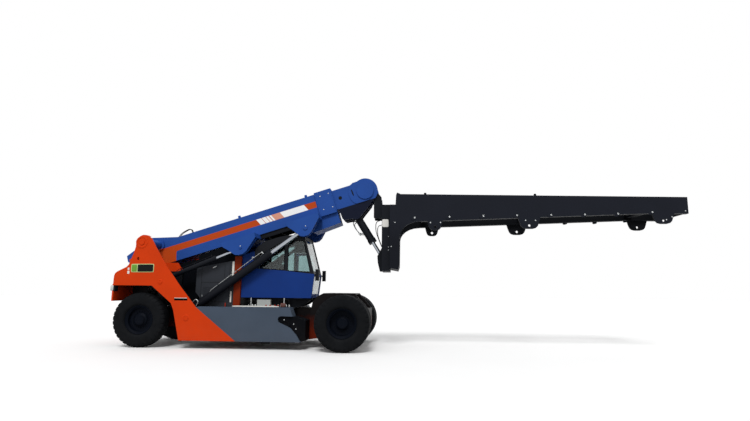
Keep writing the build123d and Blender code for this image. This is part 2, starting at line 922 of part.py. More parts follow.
def add_power_pack():
    """The sheet housing behind the cab, its guard frame, the engine block and the valve block."""
    shoulder = deck_top + power_height * power_shoulder_share
    rear = edge_x(shoulder) + swing_gap
    outline = [
        (edge_x(deck_top) + swing_gap, deck_top),
        (rear, shoulder),
        (rear, deck_top + power_height * power_drop_share),
        (power_front, deck_top + power_height),
        (power_front, deck_top),
    ]
    box = plate(outline, -power_half_width, power_half_width)
    inner = resized(outline, -power_wall)
    half = power_half_width - power_wall
    box -= plate(inner, -half, half)
    box -= block(rear + panel + power_wall, power_front - power_wall, -half, half, deck_top - overrun, shoulder)
    keep("power_box", box)
    middle = (sill[0] + power_front) / 2
    engine = block(
        middle - engine_length / 2,
        middle + engine_length / 2,
        -engine_half_width,
        engine_half_width,
        deck_top,
        deck_top + engine_height,
    )
    near = rotate_up(0, base_bottom - hood_clearance)
    slope = math.tan(math.radians(boom_angle))
    kink = rotate_up(rear_bracket_start, base_bottom - hood_clearance - bracket_drop)
    hood = [
        (rear, outline[2][1] + seat_gap),
        (rear, near[1] + (rear - near[0]) * slope),
        (kink[0] - bracket_drop, near[1] + (kink[0] - bracket_drop - near[0]) * slope),
        kink,
        (power_front, kink[1] + (power_front - kink[0]) * slope),
        (power_front, outline[3][1] + seat_gap),
    ]
    engine += plate(hood, -hood_half_width, hood_half_width)
    tank = spread(oil_tank_shares, tower_corner, tower_size)
    low = frame_top + seat_gap
    x1 = rear - swing_gap
    oil_tank = [(tank[0][0], low)] + tank[:2] + [(x1, tank[2][1]), (x1, low)]
    engine += plate(oil_tank, -oil_tank_half_width, oil_tank_half_width)
    keep("engine_block", engine)
    top = deck_top + guard_height
    outer = power_half_width + guard_depth / 2
    x1 = guard_rear + guard_post
    guard = both(block(guard_rear, x1, outer - guard_depth, outer, deck_top, top))
    guard += block(guard_rear, x1, -outer, outer, top - guard_depth, top)
    keep("cab_guard_frame", guard)
    x0 = cab_rear + cab_length * valve_share
    y1 = -rail_inner - rail_width - swing_gap
    y0 = y1 - valve_width
    valve = block(x0, x0 + valve_foot_length, y0, y1, deck_top, deck_top + valve_foot)
    valve += block(x0, x0 + valve_length, y0, y1, deck_top, deck_top + valve_foot + valve_height)
    keep("valve_block", valve)


# Boom


def tube(u0, u1, half_width, depth, wall):
    """A hollow rectangular boom section, open at both ends."""
    w0 = -boom_axis_drop - depth / 2
    w1 = -boom_axis_drop + depth / 2
    outer = block(u0, u1, -half_width, half_width, w0, w1)
    inner = half_width - wall
    return outer - block(u0 - overrun, u1 + overrun, -inner, inner, w0 + wall, w1 - wall)


def add_base_section():
    """The base section with its tail, collar, wear pads and the bosses at the main pivot."""
    outline = [(base_front, base_bottom), (base_front, base_top)] + tail
    base = plate(outline, -base_half_width, base_half_width)
    out = base_half_width + collar_proud
    base += block(
        base_front - collar_length, base_front, -out, out, base_bottom - collar_proud, base_top + collar_proud
    )
    boss = tower_inner - swing_gap
    base += disc(0, 0, pivot_boss, -boss, boss)
    inner = base_half_width - base_wall
    z0, z1 = base_bottom + base_wall, base_top - base_wall
    base -= block(base_cavity_rear, base_front + overrun, -inner, inner, z0, z1)
    base -= disc(0, 0, pivot_pin + pin_gap, -boss - overrun, boss + overrun)
    u0, u1 = base_front - pad_length, base_front - panel
    near = extension_half_width - pad_width - base_wall
    low = -boom_axis_drop - extension_depth / 2 - seat_gap
    high = -boom_axis_drop + extension_depth / 2 + seat_gap
    for side in (-1, 1):
        y0, y1 = span(side, near, near + pad_width)
        base += block(u0, u1, y0, y1, z0 - base_wall / 2, low)
        base += block(u0, u1, y0, y1, high, z1 + base_wall / 2)
        y0, y1 = span(side, extension_half_width + seat_gap, inner + base_wall / 2)
        middle = -boom_axis_drop
        base += block(u0, u1, y0, y1, middle - pad_width, middle + pad_width)
    reach = side_plane - panel - swing_gap
    for side in (-1, 1):
        y0, y1 = span(side, boss + seat_gap, reach)
        sleeve = disc(0, 0, pivot_tube, y0, y1)
        base += sleeve - disc(0, 0, pivot_pin + pin_gap, y0 - overrun, y1 + overrun)
    keep("boom_base", in_boom(base))


def add_brackets():
    """Cross boxes below the base section with paired ears for the cylinders, and the front keel."""
    seat = base_bottom - seat_gap
    collar_seat = base_bottom - collar_proud - seat_gap
    low = base_bottom - bracket_drop
    collar_start = base_front - collar_length
    keel = [
        (keel_start, low),
        (keel_start + (low - seat + keel_depth) * keel_slope_share, seat - keel_depth),
        (base_front, seat - keel_front_depth),
        (base_front, collar_seat),
        (collar_start - seat_gap, collar_seat),
        (collar_start - seat_gap, low),
    ]
    bracket = plate(keel, -keel_half_width, keel_half_width)
    rows = (
        (front_bracket_start, front_bracket_length, front_ear_depth, lift_pin_reach, -lift_pin_drop, lift_pin),
        (rear_bracket_start, rear_bracket_length, rear_ear_depth, levelling_pin_reach, -levelling_pin_drop, levelling_pin),
    )
    for start, length, depth, pin_u, pin_w, pin in rows:
        box = block(start, start + length, -bracket_outer, bracket_outer, low, seat)
        hollow = bracket_outer - bracket_wall
        box -= block(
            start + bracket_wall, start + length - bracket_wall, base_half_width, hollow, low + bracket_wall, seat - bracket_wall
        )
        box -= block(
            start + bracket_wall, start + length - bracket_wall, -hollow, -base_half_width, low + bracket_wall, seat - bracket_wall
        )
        if start + length > collar_start:
            wide = base_half_width + collar_proud + seat_gap
            box -= block(collar_start - seat_gap, start + length + overrun, -wide, wide, collar_seat, seat + overrun)
        ear = spread(ear_shares, (start, low - depth), (length, depth))
        for side in (-1, 1):
            for y in (bracket_inner, bracket_outer - bracket_wall):
                box += plate(ear, *span(side, y, y + bracket_wall))
            box += disc(pin_u, pin_w, pin, *span(side, bracket_inner - ear_cap, bracket_inner + bracket_wall))
            box += disc(pin_u, pin_w, pin, *span(side, bracket_outer - bracket_wall, bracket_outer + ear_cap))
        bracket += box
    keep("boom_brackets", in_boom(bracket))


def add_extension():
    """The sliding section with the head's cheeks, its pins and the nose that holds the tilt cylinders."""
    section = tube(extension_rear, extension_front, extension_half_width, extension_depth, extension_wall)
    half = extension_half_width - extension_wall / 2
    w0 = -boom_axis_drop - extension_depth / 2 + extension_wall / 2
    w1 = -boom_axis_drop + extension_depth / 2 - extension_wall / 2
    section += block(extension_front - head_bulkhead, extension_front, -half, half, w0, w1)
    centre = (head_reach, -boom_axis_drop)
    out = cheek_inner + cheek_thickness
    cheek = plate(around(cheek_shares, centre, head_radius), cheek_inner, out)
    cheek += disc(*centre, head_radius, cheek_inner, out)
    cheek += disc(*centre, head_disc, cheek_inner, out + head_disc_thickness)
    doubler = around(doubler_shares, centre, head_radius)
    cheek += plate(doubler, out - doubler_thickness, out + doubler_thickness)
    nose = around(nose_shares, centre, head_radius)
    cheek += plate(nose, cheek_inner, out)
    head = both(cheek) + plate(nose, -nose_plate / 2, nose_plate / 2)
    head += disc(*centre, head_pin_radius, -out, out)
    head += disc(nose_pin_reach, -nose_pin_drop, nose_pin, -out, out)
    keep("boom_extension", in_boom(section + head))


# Cylinders


def barrel(length, radius, rod_radius, eye, pin, width):
    """A cylinder's barrel along X from its base pin, with a foot, an eye, a gland and a bore."""
    along = Rot(0, 90, 0)
    flat = (Align.CENTER, Align.CENTER, Align.MIN)
    start = eye * gland_share
    body = Pos(start, 0, 0) * along * Cylinder(radius, length - start, align=flat)
    gland = Pos(length - gland_length, 0, 0) * along
    body += gland * Cylinder(radius * gland_share, gland_length, align=flat)
    body += disc(0, 0, eye, -width / 2, width / 2)
    body += block(0, start + rod_gap, -width / 2, width / 2, -eye, eye)
    body -= Pos(start + eye / 2, 0, 0) * along * Cylinder(rod_radius + rod_gap, length, align=flat)
    return body - disc(0, 0, pin + pin_gap, -width, width)


def rod(inside, reach, radius, eye, bore, width):
    """A cylinder's rod along X, from inside the barrel to the eye at its pin."""
    body = Pos(inside, 0, 0) * Rot(0, 90, 0)
    body *= Cylinder(radius, reach - inside, align=(Align.CENTER, Align.CENTER, Align.MIN))
    body += disc(reach, 0, eye, -width / 2, width / 2)
    return body - disc(reach, 0, bore, -width, width)


def add_cylinders():
    """Lift, levelling and tilt cylinders, a pair of each."""
    rows = (
        ("lift", lift_base, lift_pin_place, cylinder_row, lift_length, lift_radius, lift_rod, lift_eye,
         lift_pin, lift_tail_share, lift_tip, lift_tip_bore, lift_tip_width),
        ("levelling", levelling_base, levelling_pin_place, cylinder_row, levelling_length, levelling_radius,
         levelling_rod, levelling_eye, levelling_pin, levelling_tail_share, levelling_tip,
         levelling_tip_bore, levelling_tip_width),
        ("tilt", nose_pin_place, rod_place, tilt_row, tilt_length, tilt_radius, tilt_rod, tilt_eye, nose_pin,
         tilt_tail_share, tilt_tip, tilt_tip_bore, tilt_tip_width),
    )
    for word, base, target, row, length, radius, stem, eye, pin, tail_share, tip, bore, width in rows:
        dx, dz = target[0] - base[0], target[1] - base[1]
        turn = Rot(0, -math.degrees(math.atan2(dz, dx)), 0)
        case = barrel(length, radius, stem, eye, pin, width * eye_width_share)
        shaft = rod(length * tail_share, math.hypot(dx, dz), stem, tip, bore, width)
        for side in (-1, 1):
            place = Pos(base[0], side * row, base[1]) * turn
            keep(f"{word}_barrels", place * case)
            keep(f"{word}_rods", place * shaft)


# Carriage and beam


def under(x):
    """The height of the beam's underside at a place along it."""
    end = beam_root + beam_length * beam_taper_share
    share = min(1, (x - beam_root) / (end - beam_root))
    depth = beam_root_depth + (beam_tip_depth - beam_root_depth) * share
    return over(x) - depth


def over(x):
    """The height of the beam's top at a place along it."""
    return carriage_top + beam_root_top - beam_tip_drop * (x - beam_root) / beam_length


def add_carriage():
    """The open carriage frame on the head pin, with its arms and the lugs of the tilt rods."""
    half = carriage_half_width
    rear, front = carriage_rear, carriage_front
    low, high = carriage_bottom + low_cross_height, carriage_top - high_cross_height
    frame = block(rear, front, -half, half, carriage_bottom, carriage_top)
    inner = half - upright_width
    frame -= block(rear - overrun, front + overrun, -inner, inner, low, high)
    arm = around(arm_shares, head_place, head_radius)
    outer = cheek_inner - arm_gap
    lug = around(rod_lug_shares, rod_place, head_radius)
    frame += both(plate(arm, outer - arm_thickness, outer))
    gap = tilt_tip_width / 2 + rod_lug_gap
    for middle in (tilt_row - gap - rod_lug / 2, tilt_row + gap + rod_lug / 2):
        frame += both(plate(lug, middle - rod_lug / 2, middle + rod_lug / 2))
    frame -= disc(*head_place, head_pin_radius + pin_gap, -half, half)
    keep("carriage_frame", frame)


def add_beam():
    """The mast on the carriage, the two webs with their flanges, their ties and the sling hangers."""
    x0, x1 = carriage_front + seat_gap, carriage_front + seat_gap + mast_depth
    z0 = carriage_bottom + mast_foot_rise
    height = carriage_top + mast_head_rise - z0
    half = beam_half_width
    mast = plate(spread(mast_shares, (x0, z0), (mast_depth, height)), -half, half)
    inner = half - mast_side
    mast -= block(x0 - overrun, x1 - mast_face, -inner, inner, z0 + mast_tie, z0 + height + overrun)
    for a in mast_tie_shares:
        z = z0 + height * a
        mast += block(x0, x1 - mast_face / 2, -inner - mast_side / 2, inner + mast_side / 2, z, z + mast_tie)
    keep("beam_mast", mast)

    gusset_x = beam_root + gusset_reach
    bend = beam_root + beam_length * beam_taper_share
    curve = spread(gusset_shares, (beam_root, under(gusset_x)), (gusset_reach, -gusset_drop))
    web = [(beam_root, over(beam_root)), (beam_tip, over(beam_tip)), (beam_tip, under(beam_tip)),
           (bend, under(bend))] + curve
    thick = beam_flange_thickness
    upper = [(beam_root, over(beam_root)), (beam_tip, over(beam_tip)),
             (beam_tip, over(beam_tip) - thick), (beam_root, over(beam_root) - thick)]
    lower = [(gusset_x, under(gusset_x)), (bend, under(bend)), (beam_tip, under(beam_tip)),
             (beam_tip, under(beam_tip) + thick), (bend, under(bend) + thick), (gusset_x, under(gusset_x) + thick)]
    girder = plate(web, half - beam_web, half)
    for outline in (upper, lower):
        girder += plate(outline, half - beam_flange, half)
    beam = both(girder)
    inside = half - beam_web / 2
    for a in tie_shares:
        x = beam_root + beam_length * a
        z = (over(x) + under(x)) / 2
        x0, x1, z0, z1 = x - tie_length / 2, x + tie_length / 2, z - tie_height / 2, z + tie_height / 2
        tie = block(x0, x1, -inside, inside, z0, z1)
        wall = tie_wall
        reach = half - beam_flange
        tie -= block(x0 + wall, x1 - wall, -reach, reach, z0 + wall, z1 - wall)
        beam += tie
    z0, z1 = under(beam_tip) + thick / 2, over(beam_tip) - thick / 2
    beam += block(beam_tip - beam_end_plate, beam_tip, -inside, inside, z0, z1)
    keep("beam_girders", beam)

    for middle, length, depth in hangers():
        x0, x1 = middle - length / 2, middle + length / 2
        top = thick / 2
        low = under(middle)
        foot = spread(hanger_outline, (x0, low), (length, -depth))
        hanger = plate([(x0, under(x0) + top), (x1, under(x1) + top)] + foot, hanger_face, half)
        bore = low - depth + hanger_seat
        hanger -= disc(middle, bore, hanger_bore, hanger_face - overrun, half + overrun)
        keep("sling_hangers", both(hanger - girder))


def hangers():
    """Middle, length and depth of each pair of hangers."""
    return [
        (beam_root + beam_length * place, hanger_length * long, hanger_depth * deep)
        for place, long, deep in hanger_shares
    ]


# Cab


def cab_plate(shares, y0, y1, grow=0):
    """A plate from shares of the cab's side view, grown or shrunk by an amount."""
    points = spread(shares, cab_corner, cab_size)
    return plate(resized(points, grow) if grow else points, y0, y1)


def cab_at(a, b):
    """A place in the cab's side view from two shares."""
    return spread([(a, b)], cab_corner, cab_size)[0]


def add_cab():
    """The hollow cab with its cut windows: a lower body and rear column, and the upper frame and roof."""
    half = cab_half_width
    inner = half - cab_wall
    shell = cab_plate(cab_shares, -half, half) - cab_plate(cab_shares, -inner, inner, -cab_wall)
    wide = screen_half_width
    for ahead, sill_share, head_share in (screen_shares, low_screen_shares):
        x0, z0 = cab_at(ahead, sill_share)
        z1 = cab_at(ahead, head_share)[1]
        shell -= block(x0, -cab_setback + overrun, -wide, wide, z0, z1)
    behind, sill_share, head_share = back_light_shares
    x1, z0 = cab_at(behind, sill_share)
    z1 = cab_at(behind, head_share)[1]
    wide = back_light_half_width
    shell -= block(cab_rear - overrun, x1, -wide, wide, z0, z1)
    outer = half + overrun
    shell -= cab_plate(side_window_shares, -outer, -inner + overrun)
    shell -= both(cab_plate(rear_window_shares, inner - overrun, outer))
    shell -= cab_plate(door_shares, inner - overrun, outer, swing_gap)
    waist = cab_plate(waist_shares, -outer, outer)
    lower = shell - waist
    upper = shell & waist
    hinge_y = half + hinge_reach
    hinge_x = door_outline[0][0]
    step = (hinge_height + hinge_lug) / 2 + hinge_pin_gap
    for b in hinge_shares:
        z = cab_at(0, b)[1]
        lugs = Pos(hinge_x, hinge_y, z) * Cylinder(hinge_pin, hinge_height + 2 * hinge_lug)
        for level in (-step, step):
            z0, z1 = z + level - hinge_lug / 2, z + level + hinge_lug / 2
            lugs += block(hinge_x - hinge_leaf, hinge_x, half - cab_wall / 2, hinge_y, z0, z1)
            lugs += Pos(hinge_x, hinge_y, (z0 + z1) / 2) * Cylinder(hinge_radius, hinge_lug)
        if z < cab_at(0, waist_shares[1][1])[1]:
            lower += lugs
        else:
            upper += lugs
    keep("cab_shell", lower)
    keep("cab_upper", upper)


def add_panes():
    """Window panes set in the middle of the cab's walls."""
    half = cab_half_width
    y0, y1 = half - glass_inset - glass, half - glass_inset
    panes = cab_plate(side_window_shares, -y1, -y0, -seat_gap)
    panes += both(cab_plate(rear_window_shares, y0, y1, -seat_gap))
    wide = screen_half_width - seat_gap
    slab = cab_plate(cab_shares, -wide, wide, -glass_inset)
    slab -= cab_plate(cab_shares, -half, half, -glass_inset - glass)
    for ahead, sill_share, head_share in (screen_shares, low_screen_shares):
        z0, z1 = cab_at(0, sill_share)[1] + seat_gap, cab_at(0, head_share)[1] - seat_gap
        panes += slab & block(cab_at(ahead, 0)[0] + seat_gap, 0, -wide, wide, z0, z1)
    behind, sill_share, head_share = back_light_shares
    z0, z1 = cab_at(0, sill_share)[1] + seat_gap, cab_at(0, head_share)[1] - seat_gap
    wide = back_light_half_width - seat_gap
    slab = cab_plate(cab_shares, -wide, wide, -glass_inset)
    slab -= cab_plate(cab_shares, -half, half, -glass_inset - glass)
    panes += slab & block(cab_rear, cab_at(behind, 0)[0] - seat_gap, -wide, wide, z0, z1)
    keep("cab_windows", panes)


def add_door():
    """The door on the left, with its window, hung on two hinge pins behind it."""
    half = cab_half_width
    inner = half - cab_wall
    door = cab_plate(door_shares, inner, half)
    door -= cab_plate(door_window_shares, inner - overrun, half + overrun)
    hinge_y = half + hinge_reach
    hinge_x = door_outline[0][0]
    for b in hinge_shares:
        z = cab_at(0, b)[1]
        z0, z1 = z - hinge_height / 2, z + hinge_height / 2
        leaf = block(hinge_x, hinge_x + hinge_leaf, half - cab_wall / 2, hinge_y, z0, z1)
        leaf += Pos(hinge_x, hinge_y, z) * Cylinder(hinge_radius, hinge_height)
        door += leaf - Pos(hinge_x, hinge_y, z) * Cylinder(hinge_pin + hinge_pin_gap, 2 * hinge_height)
    keep("cab_door", door)
    y0, y1 = half - glass_inset - glass, half - glass_inset
    keep("door_window", cab_plate(door_window_shares, y0, y1, -seat_gap))


def add_interior():
    """The operator's seat on its base, the steering column and the mirrors ahead of the cab."""
    floor = cab_bottom + cab_wall + seat_gap
    rear = cab_rear + cab_length * seat_share
    half = seat_width / 2
    top = floor + seat_base_height
    inset = (seat_pad - seat_base) / 2
    seat = block(
        rear + inset, rear + inset + seat_base, -seat_base / 2, seat_base / 2, floor, top + seat_gap
    )
    seat += block(rear, rear + seat_pad, -half, half, top, top + seat_pad_height)
    back = top + seat_pad_height
    lean = seat_back
    cushion = [(rear, back - lean / 2), (rear + seat_back, back - lean / 2),
               (rear + seat_back - lean, back + seat_back_height), (rear - lean, back + seat_back_height)]
    seat += plate(cushion, -half + seat_gap, half - seat_gap)
    keep("operator_seat", seat)

    floor_size = (cab_length, cab_height)
    column = plate(spread(console_shares, (cab_rear, floor), floor_size), -console_width / 2, console_width / 2)
    x, z = cab_at(*wheel_share)
    hand = Pos(x, 0, z) * Rot(0, -wheel_tilt, 0)
    column += hand * Torus(wheel_radius, wheel_grip)
    column += hand * Box(2 * wheel_radius, 2 * wheel_grip, wheel_grip)
    keep("steering_console", column)

    x, z = cab_at(*mirror_share)
    y1 = mirror_stand + cab_half_width - mirror_width / 2
    y0 = y1 - mirror_width
    mirror_body = block(x, x + mirror_length, y0, y1, z, z + mirror_height)
    middle = z + mirror_height / 2
    arm = block(cab_at(mirror_arm_share, 0)[0], x + mirror_length / 2, cab_half_width - 2 * mirror_arm,
                cab_half_width - mirror_arm, middle - mirror_arm / 2, middle + mirror_arm / 2)
    arm -= cab_plate(cab_shares, 0, cab_half_width, seat_gap)
    keep("cab_mirrors", both(mirror_body + arm))


add_wheels()
add_axles()
add_frame()
add_towers()
add_rear_body()
add_tanks()
add_front_frame()
add_deck()
add_power_pack()
add_base_section()
add_brackets()
add_extension()
add_cylinders()
add_carriage()
add_beam()
add_cab()
add_panes()
add_door()
add_interior()

rear_tip = min(rotate_up(u, w)[0] for u, w in tail)
origin_x = (beam_tip + rear_tip) / 2
os.makedirs("parts", exist_ok=True)
for name, shape in nodes.items():
    export_step(Pos(-origin_x, 0, 0) * shape, f"parts/{name}.step")
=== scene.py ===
import json
import math

import bmesh
import bpy
import numpy as np
from bpy.props import FloatProperty, FloatVectorProperty, IntProperty, PointerProperty
from mathutils import Matrix, Vector


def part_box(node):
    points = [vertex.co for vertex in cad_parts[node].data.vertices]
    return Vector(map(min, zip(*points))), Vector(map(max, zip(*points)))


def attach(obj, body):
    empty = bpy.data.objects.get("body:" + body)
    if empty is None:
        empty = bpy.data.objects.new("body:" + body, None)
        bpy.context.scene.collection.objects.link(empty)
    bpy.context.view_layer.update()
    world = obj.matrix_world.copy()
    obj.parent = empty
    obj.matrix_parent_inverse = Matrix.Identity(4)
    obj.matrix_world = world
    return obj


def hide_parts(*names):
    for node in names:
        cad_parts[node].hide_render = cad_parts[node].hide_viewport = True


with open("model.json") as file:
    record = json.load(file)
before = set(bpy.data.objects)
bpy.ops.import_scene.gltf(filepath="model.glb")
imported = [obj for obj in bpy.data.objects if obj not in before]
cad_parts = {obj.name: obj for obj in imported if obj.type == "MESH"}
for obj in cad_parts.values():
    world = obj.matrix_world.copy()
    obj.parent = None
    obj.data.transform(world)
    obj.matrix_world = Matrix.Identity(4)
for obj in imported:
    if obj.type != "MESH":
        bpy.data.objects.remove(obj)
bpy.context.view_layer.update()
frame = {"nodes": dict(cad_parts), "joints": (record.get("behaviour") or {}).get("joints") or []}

bl_info = {
    "name": "Telescopic handler dressing",
    "version": (1, 0, 0),
    "blender": (4, 5, 0),
    "location": "View3D > Sidebar > Handler",
    "description": "Paint, tyres, plates, pipes and stage for a telescopic handler",
    "category": "Object",
}

MM = 0.001
UP = (0, 0, 1)


# ---------------------------------------------------------------- places


def node_box(name):
    """Lowest and highest corner of a node, as arrays in metres."""
    low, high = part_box(name)
    return np.array(low, float), np.array(high, float)


TYRE_LOW, TYRE_HIGH = node_box("front_tyres_right")
REAR_LOW, REAR_HIGH = node_box("rear_tyre_right")
AXLE_X = (TYRE_LOW[0] + TYRE_HIGH[0]) / 2
REAR_X = (REAR_LOW[0] + REAR_HIGH[0]) / 2
TYRE_RADIUS = (TYRE_HIGH[2] - TYRE_LOW[2]) / 2
JOINTS = {joint["name"]: joint for joint in frame["joints"]}
PIVOT = np.array(JOINTS["boom_lift"]["pos_m"], float)
BOOM_DIRECTION = np.array(JOINTS["boom_extend"]["axis"], float)
BOOM_ANGLE = math.atan2(BOOM_DIRECTION[2], BOOM_DIRECTION[0])
BOOM_LINE = np.array((math.cos(BOOM_ANGLE), 0.0, math.sin(BOOM_ANGLE)))
BOOM_UP = np.array((-math.sin(BOOM_ANGLE), 0.0, math.cos(BOOM_ANGLE)))


def at(x, y, z):
    """A place given in millimetres from the drive axle on the floor, in metres."""
    return np.array((AXLE_X + x * MM, y * MM, z * MM))


def on_boom(u, y, w):
    """A place given in millimetres along, across and above the boom from its pivot, in metres."""
    c, s = math.cos(BOOM_ANGLE), math.sin(BOOM_ANGLE)
    return np.array((PIVOT[0] + (u * c - w * s) * MM, y * MM, PIVOT[2] + (u * s + w * c) * MM))


# ---------------------------------------------------------------- surfaces


def surface(points, closed_u, closed_v):
    """Corners and quads of a grid of points p[i, j]: each quad joins i, i+1 and j, j+1, and a closed
    direction joins its last row to its first."""
    nu, nv = points.shape[:2]
    index = np.arange(nu * nv).reshape(nu, nv)
    ahead = np.roll(index, -1, axis=0) if closed_u else index[1:]
    base = index if closed_u else index[:-1]
    if closed_v:
        quads = np.stack([base, ahead, np.roll(ahead, -1, axis=1), np.roll(base, -1, axis=1)], -1)
    else:
        quads = np.stack([base[:, :-1], ahead[:, :-1], ahead[:, 1:], base[:, 1:]], -1)
    return points.reshape(-1, 3), quads.reshape(-1, 4)


def join(parts):
    """One set of corners and quads from several, each set's indices moved past the ones before."""
    counts = np.cumsum([0] + [len(v) for v, _ in parts[:-1]])
    corners = np.concatenate([v for v, _ in parts])
    quads = np.concatenate([f + n for (_, f), n in zip(parts, counts)])
    return corners, quads


def turn_y(part, angles, centre):
    """Copies of a part turned about a line along Y through the centre: x and z turn by each angle."""
    corners, quads = part
    c, s = np.cos(angles)[:, None], np.sin(angles)[:, None]
    dx, dz = corners[:, 0] - centre[0], corners[:, 2] - centre[2]
    x = centre[0] + dx * c + dz * s
    z = centre[2] - dx * s + dz * c
    y = np.broadcast_to(corners[:, 1], x.shape)
    steps = (np.arange(len(angles)) * len(corners))[:, None, None]
    return np.stack([x, y, z], -1).reshape(-1, 3), (quads[None] + steps).reshape(-1, 4)


def lathe(profile, place, side=1, count=40, closed=False):
    """A profile of (radius, height) in millimetres, its heights outwards on a face that looks to one
    side, turned about Y: x = r cos a, z = r sin a, for a all the way round."""
    r, y = np.asarray(profile, float).T[:, None] * MM
    a = np.linspace(0, 2 * np.pi, count, endpoint=False)[:, None]
    points = np.stack([r * np.cos(a), side * y + 0 * a, r * np.sin(a)], -1) + np.asarray(place, float)
    return surface(points, True, closed)


# nearly along Y, but parallel to no pipe: each ring of a pipe is turned from it
RING_SIDE = np.array((0.0123, 0.9998, 0.0151))


def pipe(path, radius, sides=12, closed=False):
    """A circle carried along a path: each ring lies square to the path's direction. An open pipe's ends
    close to a point, and a closed path joins its last ring to its first."""
    path = np.asarray(path, float)
    run = np.roll(path, -1, 0) - np.roll(path, 1, 0) if closed else np.gradient(path, axis=0)
    run /= np.linalg.norm(run, axis=1)[:, None]
    side = np.cross(run, RING_SIDE)
    side /= np.linalg.norm(side, axis=1)[:, None] + 1e-12
    up = np.cross(side, run)
    a = np.linspace(0, 2 * np.pi, sides, endpoint=False)[:, None, None]
    ring = path[None] + radius * (np.cos(a) * side[None] + np.sin(a) * up[None])
    if not closed:
        first, last = (np.repeat(end[None], sides, 0) for end in (path[:1], path[-1:]))
        ring = np.concatenate([first, ring, last], 1)
    return surface(ring, True, closed)


def arcs(a, b, c, per):
    """Points along parabolas: (1-t)^2 a + 2t(1-t) b + t^2 c, for each corner b between a and c."""
    t = np.linspace(0, 1, per)[None, :, None]
    return ((1 - t) ** 2 * a[:, None] + 2 * t * (1 - t) * b[:, None] + t ** 2 * c[:, None]).reshape(-1, 3)


def bend(points, per, pull):
    """A smooth path through a coarse one: straight runs joined by an arc at each corner, which begins
    and ends at a share of the way to its neighbours."""
    p = np.asarray(points, float)
    corners = p[1:-1]
    a, c = corners + (p[:-2] - corners) * pull, corners + (p[2:] - corners) * pull
    return np.concatenate([p[:1], arcs(a, corners, c, per), p[-1:]])


def soft_loop(points, cut=0.05, per=5):
    """A closed path round a polygon, with an arc at each corner that begins and ends at the cut distance
    from it."""
    p = np.asarray(points, float)
    back, ahead = np.roll(p, 1, 0) - p, np.roll(p, -1, 0) - p
    a = p + back * cut / np.linalg.norm(back, axis=1)[:, None]
    c = p + ahead * cut / np.linalg.norm(ahead, axis=1)[:, None]
    return arcs(a, p, c, per)


def hose(path, radius, pull=0.45, per=10, sides=12):
    """A pipe along a coarse path with its corners rounded."""
    return pipe(bend(path, per, pull), radius, sides)


def pillow(centre, across, upward, half_a, half_b, thick, power, around=48, edge=0.25):
    """A closed plate: round its outline runs a superellipse |a|^n + |b|^n = 1 of the two half sizes,
    and from one face's middle over the rim to the other's runs a rounded step of the thickness."""
    across, upward = np.asarray(across, float), np.asarray(upward, float)
    normal = np.cross(across, upward)
    a = np.linspace(0, 2 * np.pi, around, endpoint=False)[:, None]
    ca, sa = np.cos(a), np.sin(a)
    reach = (np.abs(ca) ** power + np.abs(sa) ** power) ** (-1.0 / power)
    half = thick / 2
    soft = min(edge * thick, 0.45 * min(half_a, half_b))
    small = min(half_a, half_b)
    rings = np.array([0.0, 0.55, 1 - soft / small, 1 - 0.3 * soft / small, 1.0, 1.0, 1 - 0.3 * soft / small,
                      1 - soft / small, 0.55, 0.0])[None]
    high = np.array([half, half, half, half - 0.3 * soft, half - soft, -half + soft, -half + 0.3 * soft,
                     -half, -half, -half])[None]
    points = (
        np.asarray(centre, float)
        + (half_a * reach * ca * rings)[..., None] * across
        + (half_b * reach * sa * rings)[..., None] * upward
        + (high + 0 * a)[..., None] * normal
    )
    return surface(points, True, False)


WASHER = 1.35


def stud(centre, axis, radius, height, sides=6):
    """A bolt head on its washer: rings of the given radii stacked along the axis, with flat sides
    from a low count round, and both ends closed to a point."""
    axis = np.asarray(axis, float) / np.linalg.norm(axis)
    other = np.array((0, 0, 1.0)) if abs(axis[2]) < 0.9 else np.array((1.0, 0, 0))
    one = np.cross(axis, other)
    one /= np.linalg.norm(one)
    two = np.cross(axis, one)
    r = radius * np.array([0, WASHER, WASHER, 1.0, 1.0, 0.86, 0.0])
    h = height * np.array([-0.3, -0.3, 0.22, 0.22, 0.9, 1.0, 1.0])
    a = np.linspace(0, 2 * np.pi, sides, endpoint=False)[:, None, None]
    points = np.asarray(centre, float) + r[None, :, None] * (np.cos(a) * one + np.sin(a) * two)
    points = points + h[None, :, None] * axis
    return surface(points, True, False)


def side_plate(place, wide, high, thick, side, lean, power):
    """A plate on a face that looks to one side: its inner face's middle in metres, its width, height
    and thickness in millimetres, and how far its length leans up towards the front, in degrees."""
    c, s = math.cos(math.radians(lean)), math.sin(math.radians(lean))
    across, upward = -side * np.array((c, 0, s)), np.array((-s, 0, c))
    middle = np.asarray(place, float) + np.array((0, side * thick / 2 * MM, 0))
    return pillow(middle, across, upward, wide / 2 * MM, high / 2 * MM, thick * MM, power, 32)


def side_ring(place, radius, tube):
    """A round bead on a face that looks to one side: a circle of the tube's radius carried round."""
    b = np.linspace(0, 2 * np.pi, 8, endpoint=False)
    return lathe(np.stack([radius + tube * np.cos(b), tube * np.sin(b)], -1), place, 1, 24, True)


def bolt_circle(place, side, radius, count, size, height, first=0.0):
    """Bolt heads evenly round a circle on a face that looks to one side, in millimetres."""
    place = np.asarray(place, float)
    bolt = stud(place + np.array((radius * MM, 0, 0)), (0, side, 0), size * MM, height * MM)
    return turn_y(bolt, first + np.arange(count) * 2 * np.pi / count, place)


def block(centre, sizes, power=10.0, edge=0.2):
    """A rounded block: a plate of the given length, width and height in millimetres, lying flat."""
    long, wide, high = (s * MM for s in sizes)
    return pillow(centre, (1, 0, 0), (0, 1, 0), long / 2, wide / 2, high, power, 32, edge)


# The next five give back a function that makes the part for one side, -1 or 1, in millimetres.


